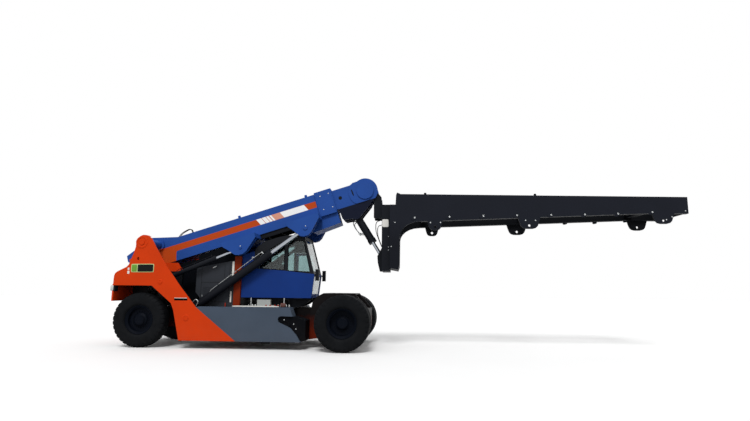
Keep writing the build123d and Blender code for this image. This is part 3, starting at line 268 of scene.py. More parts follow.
def plates(rows, face, thick, power, where=at):
    """Plates on a face: rows of x, z, width, height and lean."""
    return lambda side: join([
        side_plate(where(x, side * face, z), wide, high, thick, side, lean, power)
        for x, z, wide, high, lean in rows
    ])


def strips(rows, face, thick):
    """Flat strips on a face: rows of x and z at one end, x and z at the other, and the width."""
    return plates([
        ((x0 + x1) / 2, (z0 + z1) / 2, math.hypot(x1 - x0, z1 - z0), wide,
         math.degrees(math.atan2(z1 - z0, x1 - x0)))
        for x0, z0, x1, z1, wide in rows
    ], face, thick, 14.0)


def bolts(rows, face, radius, height, where=at):
    """Bolt heads on a face: rows of x and z."""
    return lambda side: join([
        stud(where(x, side * face, z), (0, side, 0), radius * MM, height * MM) for x, z in rows
    ])


def blocks(x, y, z, sizes, power=10.0):
    """A rounded block about a place."""
    return lambda side: block(at(x, side * y, z), sizes, power)


def hoses(rows, radius, pull=0.45, per=10, sides=12, where=at):
    """Hoses in upright planes: rows of how far out each lies and the x and z along it."""
    return lambda side: join([
        hose([where(x, side * y, z) for x, z in path], radius * MM, pull, per, sides) for y, path in rows
    ])


def make_mesh(name, part, sharp=None):
    """An object at the origin from corners and quads, doubles merged and its faces turned outwards. It is
    smooth but for edges sharper than an angle, or flat without one."""
    corners, quads = part
    mesh = bpy.data.meshes.new(name)
    mesh.vertices.add(len(corners))
    mesh.vertices.foreach_set("co", np.ascontiguousarray(corners, dtype=np.float32).ravel())
    mesh.loops.add(quads.size)
    mesh.loops.foreach_set("vertex_index", np.ascontiguousarray(quads, dtype=np.int32).ravel())
    mesh.polygons.add(len(quads))
    mesh.polygons.foreach_set("loop_start", np.arange(0, quads.size, 4, dtype=np.int32))
    mesh.update(calc_edges=True)
    shape = bmesh.new()
    shape.from_mesh(mesh)
    bmesh.ops.remove_doubles(shape, verts=shape.verts, dist=1e-6)
    bmesh.ops.dissolve_degenerate(shape, edges=shape.edges, dist=1e-7)
    bmesh.ops.recalc_face_normals(shape, faces=shape.faces)
    shape.to_mesh(mesh)
    shape.free()
    if sharp:
        mesh.shade_smooth()
        mesh.set_sharp_from_angle(angle=math.radians(sharp))
    body = bpy.data.objects.new(name, mesh)
    bpy.context.scene.collection.objects.link(body)
    return body


def add_piece(name, part, finish, body, stands_for=(), sharp=40.0):
    """Puts a new piece in the scene: its mesh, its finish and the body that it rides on."""
    piece = make_mesh(name, part, sharp)
    piece.data.materials.append(FINISHES[finish])
    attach(piece, body)
    if stands_for:
        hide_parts(*stands_for)
    return piece


def add_pair(name, make, finish, body, sharp=40.0):
    """A new piece from what make gives for the right side, -1, and for the left, 1."""
    return add_piece(name, join([make(side) for side in (-1, 1)]), finish, body, sharp=sharp)


# ---------------------------------------------------------------- finishes


def to_linear(code):
    """The linear colour of an sRGB hex value."""
    parts = [int(code.lstrip("#")[i:i + 2], 16) / 255 for i in (0, 2, 4)]
    lin = [c / 12.92 if c <= 0.04045 else ((c + 0.055) / 1.055) ** 2.4 for c in parts]
    return (*lin, 1.0)


def grow(tree, kind, values=()):
    """Adds a node. A value given for a property is set, one given for an input becomes its constant,
    and an output given for an input is linked to it."""
    made = tree.nodes.new(kind)
    for key, value in dict(values).items():
        if isinstance(value, bpy.types.NodeSocket):
            tree.links.new(value, made.inputs[key])
        elif isinstance(key, str) and hasattr(made, key) and key not in made.inputs:
            setattr(made, key, value)
        else:
            made.inputs[key].default_value = value
    return made


class Coat:
    """A finish in the making: its material, node tree and shader, with its constants on the shader,
    and the place on the piece in Object coordinates."""

    def __init__(self, name, **sockets):
        self.material = bpy.data.materials.new(name)
        self.material.use_nodes = True
        self.tree = self.material.node_tree
        self.shader = self.tree.nodes["Principled BSDF"]
        for key, value in sockets.items():
            self.shader.inputs[key.replace("_", " ")].default_value = value
        self.place = self.node("ShaderNodeTexCoord").outputs["Object"]

    def node(self, kind, values=()):
        return grow(self.tree, kind, values)

    def link(self, output, socket):
        """Links an output to one of the shader's inputs."""
        self.tree.links.new(output, self.shader.inputs[socket])

    def split(self, vector=None):
        """The three parts of a vector, or of the place."""
        place = self.place if vector is None else vector
        return self.node("ShaderNodeSeparateXYZ", {0: place}).outputs

    def noise(self, scale, detail, rough):
        """A noise's value at the place."""
        values = {"Vector": self.place, "Scale": scale, "Detail": detail, "Roughness": rough}
        return self.node("ShaderNodeTexNoise", values).outputs["Fac"]

    def maths(self, operation, *values, clamp=False):
        """A math node's result from outputs and numbers."""
        settings = {"operation": operation, "use_clamp": clamp}
        return self.node("ShaderNodeMath", {**settings, **dict(enumerate(values))}).outputs[0]

    def span(self, value, low, high, start=0.0, stop=1.0, kind="LINEAR"):
        """A value's way from low to high, spread from start to stop and held beyond them."""
        limits = {"From Min": low, "From Max": high, "To Min": start, "To Max": stop}
        values = {"interpolation_type": kind, "Value": value, **limits}
        return self.node("ShaderNodeMapRange", values).outputs[0]

    def between(self, value, low, high, soft=0.004):
        """One where a value lies between two limits, with a short soft edge at both."""
        up = self.span(value, low - soft, low + soft)
        return self.maths("MULTIPLY", up, self.span(value, high - soft, high + soft, 1.0, 0.0))

    def mix(self, below, above, share, blend="MIX"):
        """One colour laid over another by a share."""
        values = {"data_type": "RGBA", "blend_type": blend, 0: share, 6: below, 7: above}
        return self.node("ShaderNodeMix", values).outputs[2]

    def overlay(self, below, code, mask):
        """A flat colour laid over another where a mask is one."""
        return self.mix(below, to_linear(code), mask)

    def patches(self, colour, spread=0.08, size=0.6):
        """Slow light and dark patches, as paint has over welded plate: a colour, in hex or linear,
        times a noise."""
        if isinstance(colour, str):
            colour = to_linear(colour)
        lift = self.span(self.noise(1 / size, 4.0, 0.55), 0.3, 0.7, 1 - spread, 1 + spread)
        grey = self.node("ShaderNodeCombineColor", {0: lift, 1: lift, 2: lift}).outputs[0]
        return self.mix(colour, grey, 1.0, "MULTIPLY")

    def dust(self, colour, reach, most, code="#6E6458"):
        """Road dust that is thickest at the floor and broken up by noise, mixed over a colour."""
        fade = self.span(self.split()[2], 0.05, reach, most, 0.0)
        broken = self.span(self.noise(7.0, 6.0, 0.65), 0.35, 0.75, 0.2, 1.2)
        return self.overlay(colour, code, self.maths("MULTIPLY", fade, broken, clamp=True))

    def boom_axes(self):
        """The place's distances along, across and above the boom from its pivot, in metres."""
        turned = {"vector_type": "TEXTURE", "Location": tuple(PIVOT), "Rotation": (0, -BOOM_ANGLE, 0)}
        return self.split(self.node("ShaderNodeMapping", {**turned, "Vector": self.place}).outputs[0])

    def bump(self, height, strength, depth):
        """Raises the surface by a height, to a depth in millimetres."""
        values = {"Strength": strength, "Distance": depth * MM, "Height": height}
        self.link(self.node("ShaderNodeBump", values).outputs["Normal"], "Normal")

    def done(self, colour, rough, grain=None, patch=0.15):
        """The material with its colour, a roughness that wanders between two values as on handled and
        weathered things, and a fine noise bump of a grain size in millimetres, a strength and a depth."""
        self.link(colour, "Base Color")
        self.link(self.span(self.noise(1 / patch, 5.0, 0.6), 0.3, 0.7, *rough), "Roughness")
        if grain:
            self.bump(self.noise(1000 / grain[0], 3.0, 0.5), *grain[1:])
        return self.material


# a specular level, a range of roughness, and a grain's size in millimetres, strength and depth
GLOSS = 0.12
SATIN = (0.46, 0.62)
ORANGE_PEEL = (14, 0.12, 0.4)


def spray_enamel(name, code, rough=SATIN, dust=0.3, reach=0.9, gloss=GLOSS):
    """Two-part enamel sprayed on welded steel plate: an even colour with slow patches, a satin gloss
    that wanders, faint orange peel and road dust low down. The peel, 3 mm on the real paint, is
    drawn at 14 mm to show."""
    coat = Coat(name, IOR=1.5, Specular_IOR_Level=gloss)
    return coat.done(coat.dust(coat.patches(code), reach, dust), rough, ORANGE_PEEL)


def orange_arch_shade_enamel(name, code, dark):
    """Orange enamel on the body's outside, with painted shade inside the wheel arches: black below the arch
    roof and further in than the side plates, where the arches lie in shadow."""
    coat = Coat(name, IOR=1.5, Specular_IOR_Level=GLOSS)
    x, y, z = coat.split()
    # painted shade: the arches' inner faces below the arch roof are coloured black, as they lie in shadow
    inward_shade_band = coat.between(coat.maths("ABSOLUTE", y), -1.0, 1.278, 0.001)
    inside = coat.maths("MULTIPLY", inward_shade_band, coat.between(z, -1.0, 1.95))
    rear = coat.between(x, at(-5950, 0, 0)[0], at(-3300, 0, 0)[0], 0.01)
    colour = coat.dust(coat.patches(code, 0.06), 0.9, 0.08)
    return coat.done(coat.overlay(colour, dark, coat.maths("MULTIPLY", inside, rear)), SATIN, ORANGE_PEEL)


def shaded_enamel(name, code, dark):
    """Black enamel on the beams, dull all over, with painted shade: near-black on the faces that look
    inwards, which lie in shadow, and darker down the mast."""
    coat = Coat(name, IOR=1.5, Specular_IOR_Level=0.1)
    x, y, z = coat.split()
    # painted shade: the faces that look inwards, from the mast forward, are coloured near-black
    inward_shade_band = coat.between(coat.maths("ABSOLUTE", y), -1.0, 0.752, 0.001)
    inner = coat.maths("MULTIPLY", inward_shade_band, coat.between(x, at(1450, 0, 0)[0], 30.0, 0.01))
    colour = coat.overlay(coat.patches(code), dark, coat.span(z, 2.75, 3.35, 0.55, 0.0))
    return coat.done(coat.overlay(colour, dark, inner), (0.5, 0.64), ORANGE_PEEL)


def nose_shade_enamel(name, code, dark):
    """Blue enamel on the sliding section, with painted shade: near-black under its head where the pins are,
    where the nose's lower plates lie in shadow.
    """
    coat = Coat(name, IOR=1.5, Specular_IOR_Level=GLOSS)
    # painted shade: the nose below the extension's lower edge is coloured near-black navy
    low = coat.between(coat.boom_axes()[2], -3.0, -0.530, 0.006)
    return coat.done(coat.overlay(coat.patches(code), dark, low), SATIN, ORANGE_PEEL)


def frame_shade_enamel(name, code, dark):
    """Orange enamel darkened as painted shade, for the frame in shadow under the body: black from knee
    height up, with the darkened paint still showing low down, where the two meet in a cloudy edge."""
    coat = Coat(name, IOR=1.5, Specular_IOR_Level=0.1)
    drift = coat.maths("MULTIPLY_ADD", coat.noise(5.0, 4.0, 0.6), 0.20, -0.10)
    # painted shade: black laid over the paint from knee height up, with a noisy edge
    shade_overlay = coat.span(coat.maths("ADD", coat.split()[2], drift), 0.36, 0.84)
    return coat.done(coat.overlay(coat.patches(code, 0.1), dark, shade_overlay), (0.45, 0.65), (14, 0.15, 0.4))


# the stripe's pieces along the boom from its pivot, in metres at the stripe's upper edge
STRIPE_BLOCK = (3.240, 3.480)
STRIPE_WHITES = ((3.485, 4.185), (2.800, 2.945), (2.959, 3.067), (3.082, 3.154), (3.176, 3.234))


def striped_enamel(name, body_code, stripe_code, white_code):
    """The boom's blue enamel with a masked orange stripe along each side, widening at the pivot, four
    slanted white bars, a pale block and a blank white panel near its front."""
    coat = Coat(name, IOR=1.5, Specular_IOR_Level=GLOSS)
    u, y, w = coat.boom_axes()
    step = coat.span(u, 0.31, 0.47, 0.36, 0.0, "SMOOTHERSTEP")
    band = coat.span(coat.maths("ADD", w, step), -0.308, -0.300)
    for value, low, high, soft in (
        (w, -2.0, -0.130, 0.004), (u, -0.9, 4.520, 0.004), (coat.maths("ABSOLUTE", y), 0.3785, 0.60, 0.0004)
    ):
        band = coat.maths("MULTIPLY", band, coat.between(value, low, high, soft))
    slant = coat.maths("ADD", u, coat.maths("MULTIPLY_ADD", w, 0.5, 0.065))
    colour = coat.overlay(coat.patches(body_code), stripe_code, band)
    marks = [(*STRIPE_BLOCK, "#DE9C84")] + [(*ends, white_code) for ends in STRIPE_WHITES]
    for first, last, code in marks:
        colour = coat.overlay(colour, code, coat.maths("MULTIPLY", coat.between(slant, first, last), band))
    return coat.done(coat.dust(colour, 1.4, 0.15), SATIN, ORANGE_PEEL)


def tyre_rubber(name, code):
    """Carbon-black natural rubber moulded in a steel mould: a dull black with dust worked into it,
    greyer on the tread, and a fine moulded grain drawn at 9 mm."""
    coat = Coat(name, IOR=1.52, Specular_IOR_Level=0.08)
    colour = coat.dust(coat.patches(code, 0.18, 0.25), 1.9, 0.03, "#4A443C")
    return coat.done(colour, (0.68, 0.88), (9, 0.25, 0.8))


def chromed_steel(name, code):
    """Hard chrome on a ground steel rod: a bright mirror, faintly hazed by oil in long patches."""
    coat = Coat(name, Metallic=1.0)
    return coat.done(coat.patches(code, 0.05, 0.2), (0.10, 0.22), patch=0.08)


def zinc_plate(name, code):
    """Zinc-plated steel fittings and pipe: a pale grey metal with a soft, slightly mottled gloss."""
    coat = Coat(name, Metallic=0.85)
    return coat.done(coat.patches(code, 0.12, 0.05), (0.34, 0.5), patch=0.04)


def cast_iron(name, code):
    """Sand-cast iron under black paint: a matt skin with a coarse sandy bump, 3 mm grit drawn at 12."""
    coat = Coat(name, IOR=1.5, Specular_IOR_Level=0.04)
    return coat.done(coat.dust(coat.patches(code, 0.2, 0.1), 1.1, 0.04), (0.5, 0.7), (12, 0.4, 1.2))


def tinted_glass(name, code):
    """Green-tinted safety glass: clear with a grey-green cast and a faint film of dust."""
    coat = Coat(name, IOR=1.52, Transmission_Weight=1.0)
    return coat.done(coat.patches(code, 0.06, 0.3), (0.03, 0.10), patch=0.3)


def woven_cloth(name, code):
    """Flat woven seat cloth: crossing thread waves, 2 mm on the real seat and drawn at 8."""
    coat = Coat(name, Sheen_Weight=0.25, Sheen_Roughness=0.5)
    x, y, z = (
        coat.node("ShaderNodeTexWave", {
            "bands_direction": way, "Scale": 40.0, "Distortion": 0.4, "Vector": coat.place
        }).outputs["Fac"] for way in "XYZ"
    )
    coat.bump(coat.maths("ADD", coat.maths("ADD", x, y), z), 0.35, 0.8)
    return coat.done(coat.patches(code, 0.12, 0.06), (0.82, 0.95))


FINISHES = {}


def mix_finishes():
    """Makes every finish once."""
    plate = {"rough": (0.3, 0.4), "dust": 0.03}
    FINISHES.update(
        # 0B0D11 is painted shade inside the rear wheel arches
        orange=orange_arch_shade_enamel("orange_spray_enamel", "#D23B04", "#0B0D11"),
        # 7C2505 is the body orange darkened as painted shade on the guard frame
        guard=spray_enamel("shaded_orange_spray_enamel", "#7C2505", dust=0.06),
        # 641C05 is the orange darkened as painted shade, and #0A0607 the painted shadow above knee height
        arch=frame_shade_enamel("arch_enamel_with_painted_shade", "#641C05", "#0A0607"),
        boom=striped_enamel("boom_striped_enamel", "#244C98", "#BE4712", "#FCFBF8"),
        # 030A20 is painted shade on the lower nose
        nose=nose_shade_enamel("nose_enamel_with_painted_shade", "#244C98", "#030A20"),
        blue=spray_enamel("blue_spray_enamel", "#244C98", dust=0.04),
        cab=spray_enamel("cab_blue_spray_enamel", "#11347A", dust=0.03),
        grey=spray_enamel("slate_spray_enamel", "#465160", dust=0.08),
        panel=spray_enamel("dark_grey_spray_enamel", "#2F3238", (0.45, 0.6), 0.04),
        cab_dark=spray_enamel("cab_dark_grey_spray_enamel", "#16181D", (0.4, 0.55), 0.03),
        black=spray_enamel("black_spray_enamel", "#0C0F16", (0.5, 0.64), 0.04),
        # 03050A is painted shade on the beams' inner faces, and darkens the mast towards the bottom
        beam_black=shaded_enamel("beam_black_spray_enamel", "#161922", "#03050A"),
        rim=spray_enamel("wheel_black_spray_enamel", "#050A14", (0.45, 0.6), 0.02, 1.3, 0.05),
        iron=cast_iron("black_painted_cast_iron", "#06080D"),
        rubber=tyre_rubber("tyre_carbon_black_rubber", "#0D0F12"),
        hose=tyre_rubber("hydraulic_hose_rubber", "#0D0E10"),
        hose_grey=tyre_rubber("armoured_hose_rubber", "#6E7276"),
        chrome=chromed_steel("hard_chromed_steel", "#A6ABB2"),
        zinc=zinc_plate("zinc_plated_steel", "#B9BCBC"),
        pale=spray_enamel("pale_grey_spray_enamel", "#AEB2B0", dust=0.15),
        sign_white=spray_enamel("white_sign_enamel", "#E4E2DC", (0.3, 0.4), 0.04),
        sign_black=spray_enamel("black_sign_enamel", "#0B0F0E", **plate),
        sign_lime=spray_enamel("pale_lime_sign_enamel", "#BFD08E", **plate),
        sign_green=spray_enamel("green_sign_enamel", "#6FA03E", **plate),
        cap_red=spray_enamel("red_cap_enamel", "#9C2A16", (0.3, 0.45), 0.1),
        primer=spray_enamel("brown_primer_enamel", "#6B4A45", (0.4, 0.6), 0.1),
        lens=spray_enamel("pale_lamp_lens", "#C9CDCB", (0.15, 0.25), 0.08, gloss=0.5),
        glass=tinted_glass("green_tinted_glass", "#AFC5C5"),
        cloth=woven_cloth("charcoal_woven_cloth", "#26282C"),
    )


NODE_FINISH = {
    "arch": ("main_frame", "front_plates"),
    "orange": ("tower_left", "tower_right", "counterweight"),
    "grey": ("side_tanks",),
    "iron": ("axle_brackets", "front_axle", "rear_axle", "engine_block", "knuckle_left", "knuckle_right"),
    "black": (
        "deck", "cab_mirrors", "steering_console", "carriage_frame", "lift_barrels", "levelling_barrels",
        "tilt_barrels",
    ),
    "panel": ("power_box",),
    "guard": ("cab_guard_frame",),
    "cab": ("cab_shell", "cab_door"),
    "cab_dark": ("cab_upper",),
    "glass": ("cab_windows", "door_window"),
    "pale": ("valve_block",),
    "cloth": ("operator_seat",),
    "rim": ("front_rims_left", "front_rims_right", "rear_rim_left", "rear_rim_right"),
    "boom": ("boom_base",),
    "blue": ("boom_brackets",),
    "nose": ("boom_extension",),
    "beam_black": ("beam_mast", "beam_girders", "sling_hangers"),
    "chrome": ("lift_rods", "levelling_rods", "tilt_rods"),
}


# ---------------------------------------------------------------- settings


class HandlerLook(bpy.types.PropertyGroup):
    """Sizes that a user would change on the dressing."""

    lug_count: IntProperty(
        name="Tread lugs", description="Lugs round each side of a tyre", default=34, min=12
    )
    lug_depth: FloatProperty(
        name="Tread depth", description="Depth of the grooves", default=0.014, unit="LENGTH"
    )
    nut_count: IntProperty(name="Wheel nuts", description="Nuts round each wheel disc", default=20, min=6)
    pipe_radius: FloatProperty(
        name="Pipe radius", description="Radius of the hard lines on the cylinders", default=0.007,
        unit="LENGTH",
    )
    floor_colour: FloatVectorProperty(
        name="Floor", description="Colour of the floor", subtype="COLOR", default=(0.92, 0.92, 0.92)
    )
    bounce_colour: FloatVectorProperty(
        name="Bounce", description="What the floor throws back up", subtype="COLOR",
        default=(0.22, 0.22, 0.22),
    )


# ---------------------------------------------------------------- pieces


# how far out from the middle the faces lie that carry pieces, and how high the deck, in millimetres
COLLAR_FACE = 412
CAB_FACE = 622
POWER_FACE = 640
DECK_ROW = 700
BEAM_FACE = 760
CASTING_FACE = 1240
TOWER_FACE = 1300
DECK_TOP = 1034


class HANDLER_OT_finishes(bpy.types.Operator):
    """Gives every carried-over CAD node its painted, plated, cast or glazed finish"""

    bl_idname = "handler.finishes"
    bl_label = "Finish the frame's nodes"

    def execute(self, context):
        mix_finishes()
        for key, names in NODE_FINISH.items():
            for name in names:
                mesh = frame["nodes"][name].data
                mesh.materials.clear()
                mesh.materials.append(FINISHES[key])
        return {"FINISHED"}


# a tyre's half section from the bead to the middle of the tread, as (radius, half width) in metres
TYRE_SECTION = np.array([
    (0.368, 0.130), (0.384, 0.162), (0.418, 0.182), (0.470, 0.1910), (0.540, 0.1925), (0.600, 0.1885),
    (0.638, 0.180), (0.664, 0.165), (0.679, 0.142), (0.6860, 0.105), (0.6875, 0.055), (0.6875, 0.0),
])
TYRE_HALF = 0.1925
BEAD = 0.368


def tyre_part(centre, look):
    """A lug tyre: the carcass section is a closed curve from bead to bead, and the tread is cut into
    it by moving each point in along the section's normal by the groove depth times a groove mask of
    the angle round the tyre and the place along the section."""
    scale = TYRE_RADIUS / TYRE_SECTION[-1, 0]
    t = np.linspace(0, 1, len(TYRE_SECTION))
    fine = np.linspace(0, 1, 30)
    r_half = np.interp(fine, t, TYRE_SECTION[:, 0]) * scale
    y_half = np.interp(fine, t, TYRE_SECTION[:, 1])
    r = np.concatenate([r_half, r_half[-2::-1]])
    y = np.concatenate([y_half, -y_half[-2::-1]])
    dr, dy = np.gradient(r), np.gradient(y)
    length = np.hypot(dr, dy)
    a = np.linspace(0, 2 * np.pi, look.lug_count * 14, endpoint=False)[:, None]
    lean = np.sign(y)[None] * 0.25 * (np.abs(y)[None] / TYRE_HALF)
    phase = (a * look.lug_count / (2 * np.pi) + lean + np.where(y > 0, 0.0, 0.5)[None]) % 1.0
    groove = 1 / (1 + np.exp((np.abs(phase - 0.5) - 0.15) * 45))
    outer = 1 / (1 + np.exp((0.612 * scale - r) * 260))[None]
    inner = 1 / (1 + np.exp((0.088 - np.abs(y)) * 260))[None]
    rib = 0.0035 * np.exp(-(((r - 0.585) / 0.006) ** 2)) + 0.003 * np.exp(-(((r - 0.425) / 0.008) ** 2))
    move = rib[None] - groove * outer * inner * look.lug_depth
    rr = r[None] - (dy / length)[None] * move
    yy = np.clip(y[None] + (dr / length)[None] * move, -TYRE_HALF, TYRE_HALF)
    points = np.stack([rr * np.cos(a), yy, rr * np.sin(a)], -1)
    inside = np.stack([BEAD * np.cos(a), 0 * a, BEAD * np.sin(a)], -1)
    return surface(np.concatenate([points, inside], 1) + np.asarray(centre), True, True)


class HANDLER_OT_tyres(bpy.types.Operator):
    """Lug tyres with a cut tread, in place of the plain carcasses"""

    bl_idname = "handler.tyres"
    bl_label = "Make the tyres"

    def execute(self, context):
        look = context.scene.handler_look
        for word in ("right", "left"):
            low, high = node_box(f"front_tyres_{word}")
            middle, shift = (low[1] + high[1]) / 2, (high[1] - low[1]) / 2 - TYRE_HALF
            twins = [tyre_part((AXLE_X, middle + step * shift, TYRE_RADIUS), look) for step in (-1, 1)]
            low, high = node_box(f"rear_tyre_{word}")
            single = [tyre_part((REAR_X, (low[1] + high[1]) / 2, TYRE_RADIUS), look)]
            for name, parts, body, node in (
                (f"lug_tyres_front_{word}", twins, f"front_wheels_{word}", f"front_tyres_{word}"),
                (f"lug_tyre_rear_{word}", single, f"rear_wheel_{word}", f"rear_tyre_{word}"),
            ):
                add_piece(name, join(parts), "rubber", body, (node,), 32)
        return {"FINISHED"}


class HANDLER_OT_wheel_fittings(bpy.types.Operator):
    """Wheel nuts, lock rings and hub bolts on each wheel"""

    bl_idname = "handler.wheel_fittings"
    bl_label = "Fit the wheel nuts"

    def execute(self, context):
        look = context.scene.handler_look
        lock = ((365.5, -10), (365.5, 0), (360, 4), (350, 4), (345, -2), (345, -10))
        for side, word in ((-1, "right"), (1, "left")):
            # how far out the outer rim's middle lies and how far in from it its disc, in metres
            for name, x, middle, dish, body in (
                (f"wheel_fittings_front_{word}", AXLE_X, 1.490, 0.08025, f"front_wheels_{word}"),
                (f"wheel_fittings_rear_{word}", REAR_X, 1.088, -0.01475, f"rear_wheel_{word}"),
            ):
                disc = middle - dish
                nuts = bolt_circle((x, side * disc, TYRE_RADIUS), side, 205, look.nut_count, 15.5, 24)
                caps = bolt_circle((x, side * (disc + 0.095), TYRE_RADIUS), side, 86, 8, 10, 10)
                ring = lathe(lock, (x, side * (middle + 0.1345), TYRE_RADIUS), side, 96, True)
                add_piece(name, join([nuts, caps, ring]), "rim", body, sharp=35)
        return {"FINISHED"}


class HANDLER_OT_cylinder_lines(bpy.types.Operator):
    """Hard lines along the lift and levelling barrels, with their clamps and unions"""

    bl_idname = "handler.cylinder_lines"
    bl_label = "Run the cylinder lines"

    def execute(self, context):
        look = context.scene.handler_look
        # barrel radius, where the line starts and stops along it, and its height there, in metres
        for word, finish, radius, start, stop, low, high in (
            ("lift", "zinc", 0.108, 0.620, 2.380, 0.130, 0.174),
            ("levelling", "black", 0.066, 0.200, 1.280, 0.105, 0.105),
        ):
            along = np.array(JOINTS[f"{word}_stroke"]["axis"], float)
            up = np.array((-along[2], 0.0, along[0]))
            lines, clamps = [], []
            for side in (-1, 1):
                row = np.array(JOINTS[f"{word}_swing"]["pos_m"], float) + (0, side * 0.804, 0)
                path = [row + along * s + up * h for s, h in (
                    (start, radius * 0.8), (start + 0.15, low), (stop, high), (stop + 0.04, radius * 0.9)
                )]
                lines.append(hose(path, look.pipe_radius, 0.12))
                lines.append(stud(row + along * (stop + 0.02) + up * (radius + 0.03), up, 0.014, 0.036, 12))
                for share in (0.2, 0.55, 0.85):
                    rise = low + (high - low) * share
                    place = row + along * (start + (stop - start) * share) + up * (radius + rise) / 2
                    tall = (rise - radius) / 2 + 0.008
                    clamps.append(pillow(place, along, up, 0.012, tall, 0.034, 6, 24))
            add_piece(f"{word}_hard_lines", join(lines), finish, f"{word}_barrel_pair")
            add_piece(f"{word}_line_clamps", join(clamps), "black", f"{word}_barrel_pair")
        return {"FINISHED"}


class HANDLER_OT_signs(bpy.types.Operator):
    """Blank sign plates and labels on the towers, the rear body and the carriage"""

    bl_idname = "handler.signs"
    bl_label = "Fit the blank signs"

    def execute(self, context):
        face = TOWER_FACE
        sign = plates(((-5228, 2001, 604, 216, 0.6),), face, 5, 20.0)
        panel = plates(((-5150, 2002, 412, 184, 0.6),), face + 5, 3, 20.0)
        square = plates(((-5444, 1999, 132, 176, 0.6),), face + 5, 3, 12.0)
        labels = plates(((-5598, 1975, 46, 66, 0.6), (-5596, 1888, 58, 74, 0.6)), face, 3, 12.0)
        carriage_label = plates(((1003, 3279, 172, 208, 0.0),), 600, 4, 8.0)
        add_pair("tower_sign_frames", sign, "sign_lime", "chassis")
        add_pair("tower_sign_panels", panel, "sign_black", "chassis")
        add_pair("tower_sign_squares", square, "sign_green", "chassis")
        add_pair("rear_blank_labels", labels, "sign_white", "chassis")
        add_pair("carriage_blank_labels", carriage_label, "sign_white", "carriage")
        return {"FINISHED"}


class HANDLER_OT_covers(bpy.types.Operator):
    """Covers, pivot bosses and slot lips on the towers, rear lamps and hose box, bosses on the castings"""

    bl_idname = "handler.covers"
    bl_label = "Fit the covers and lamps"

    def execute(self, context):
        def covers(side):
            parts = []
            for x, z, radius, count, size in ((-4734, 1652, 58, 6, 9), (-4003, 757, 74, 8, 10)):
                place, rim = at(x, side * TOWER_FACE, z), radius + 7
                disc = ((0, 9), (radius * 0.5, 9), (radius, 7), (rim, 1), (rim, -4), (0, -4))
                parts.append(lathe(disc, place, side, 40))
                parts.append(bolt_circle(place + (0, side * 0.008, 0), side, radius * 0.76, count, size, 8))
            return join(parts)

        def bosses(side):
            place = np.array((PIVOT[0], side * TOWER_FACE * MM, PIVOT[2]))
            ring = ((160, -4), (158, 6), (148, 8), (118, 8), (112, 4), (112, -4))
            heads = bolt_circle(place + (0, side * 0.007, 0), side, 133, 8, 10, 8, 0.3)
            return join([lathe(ring, place, side, 56, True), heads])

        def casting_boss(side):
            place = at(-1478, side * CASTING_FACE, 600)
            boss = ((0, 20), (48, 20), (52, 10), (96, 10), (100, 30), (128, 30), (140, 18), (142, -4),
                    (0, -4))
            eye = ((60, -2), (60, 14), (40, 18), (36, -2))
            return join([
                lathe(boss, place, side, 48),
                lathe(eye, at(-1268, side * CASTING_FACE, 430), side, 36, True),
                bolt_circle(place + (0, side * 0.029, 0), side, 114, 10, 9, 9),
            ])

        def casting_bolts(side):
            upper = bolts(((-1490, 742),), 1268, 11, 10)
            lower = bolts(((-1250, 640), (-1190, 520)), CASTING_FACE, 11, 12)
            return join([upper(side), lower(side)])

        lips = strips(((-4335, 1250, -3998, 1250, 12),), TOWER_FACE, 4)
        hose_box = block(at(-5392, 0, 1222), (150, 700, 420), 8.0, 0.1)
        add_pair("slot_lips", lips, "sign_white", "chassis")
        add_piece("rear_hose_box", hose_box, "black", "chassis")
        add_pair("tower_covers", covers, "orange", "chassis", 30)
        add_pair("pivot_boss_rings", bosses, "orange", "chassis", 30)
        lamp = blocks(-5945, 1215, 1478, (50, 150, 150))
        lens = blocks(-6006, 1224, 1488, (88, 132, 146), 6.0)
        add_pair("rear_lamp_boxes", lamp, "black", "chassis")
        add_pair("rear_lamp_lenses", lens, "lens", "chassis")
        add_pair("casting_bosses", casting_boss, "iron", "chassis", 30)
        add_pair("casting_bolts", casting_bolts, "zinc", "chassis")
        return {"FINISHED"}


class HANDLER_OT_power_trim(bpy.types.Operator):
    """Door seams, pale edge strips, latches and louvres on the power housing"""

    bl_idname = "handler.power_trim"
    bl_label = "Trim the power housing"

    def execute(self, context):
        seams = strips((
            (-3925, 1150, -3925, 1660, 9), (-3925, 1660, -3160, 1668, 9), (-3300, 1668, -3300, 2150, 7),
            (-3925, 1150, -3160, 1150, 9), (-3160, 1150, -3160, 2190, 9), (-3925, 1668, -3925, 2110, 7),
        ), POWER_FACE, 3)
        edges = strips(((-3072, 1640, -3072, 2225, 56), (-3104, 1140, -3104, 1430, 40)), POWER_FACE, 5)
        latches = plates(((-3577, 2070, 118, 16, 27), (-3880, 1300, 16, 50, 0)), POWER_FACE + 3, 12, 5.0)
        louvres = plates([(-3720, 1240 + 36 * k, 300, 14, 0) for k in range(9)], POWER_FACE, 10, 10.0)
        add_pair("power_door_seams", seams, "sign_black", "chassis")
        add_pair("power_edge_strips", edges, "sign_white", "chassis")
        add_pair("power_latches", latches, "zinc", "chassis")
        add_pair("power_louvres", louvres, "panel", "chassis")
        return {"FINISHED"}


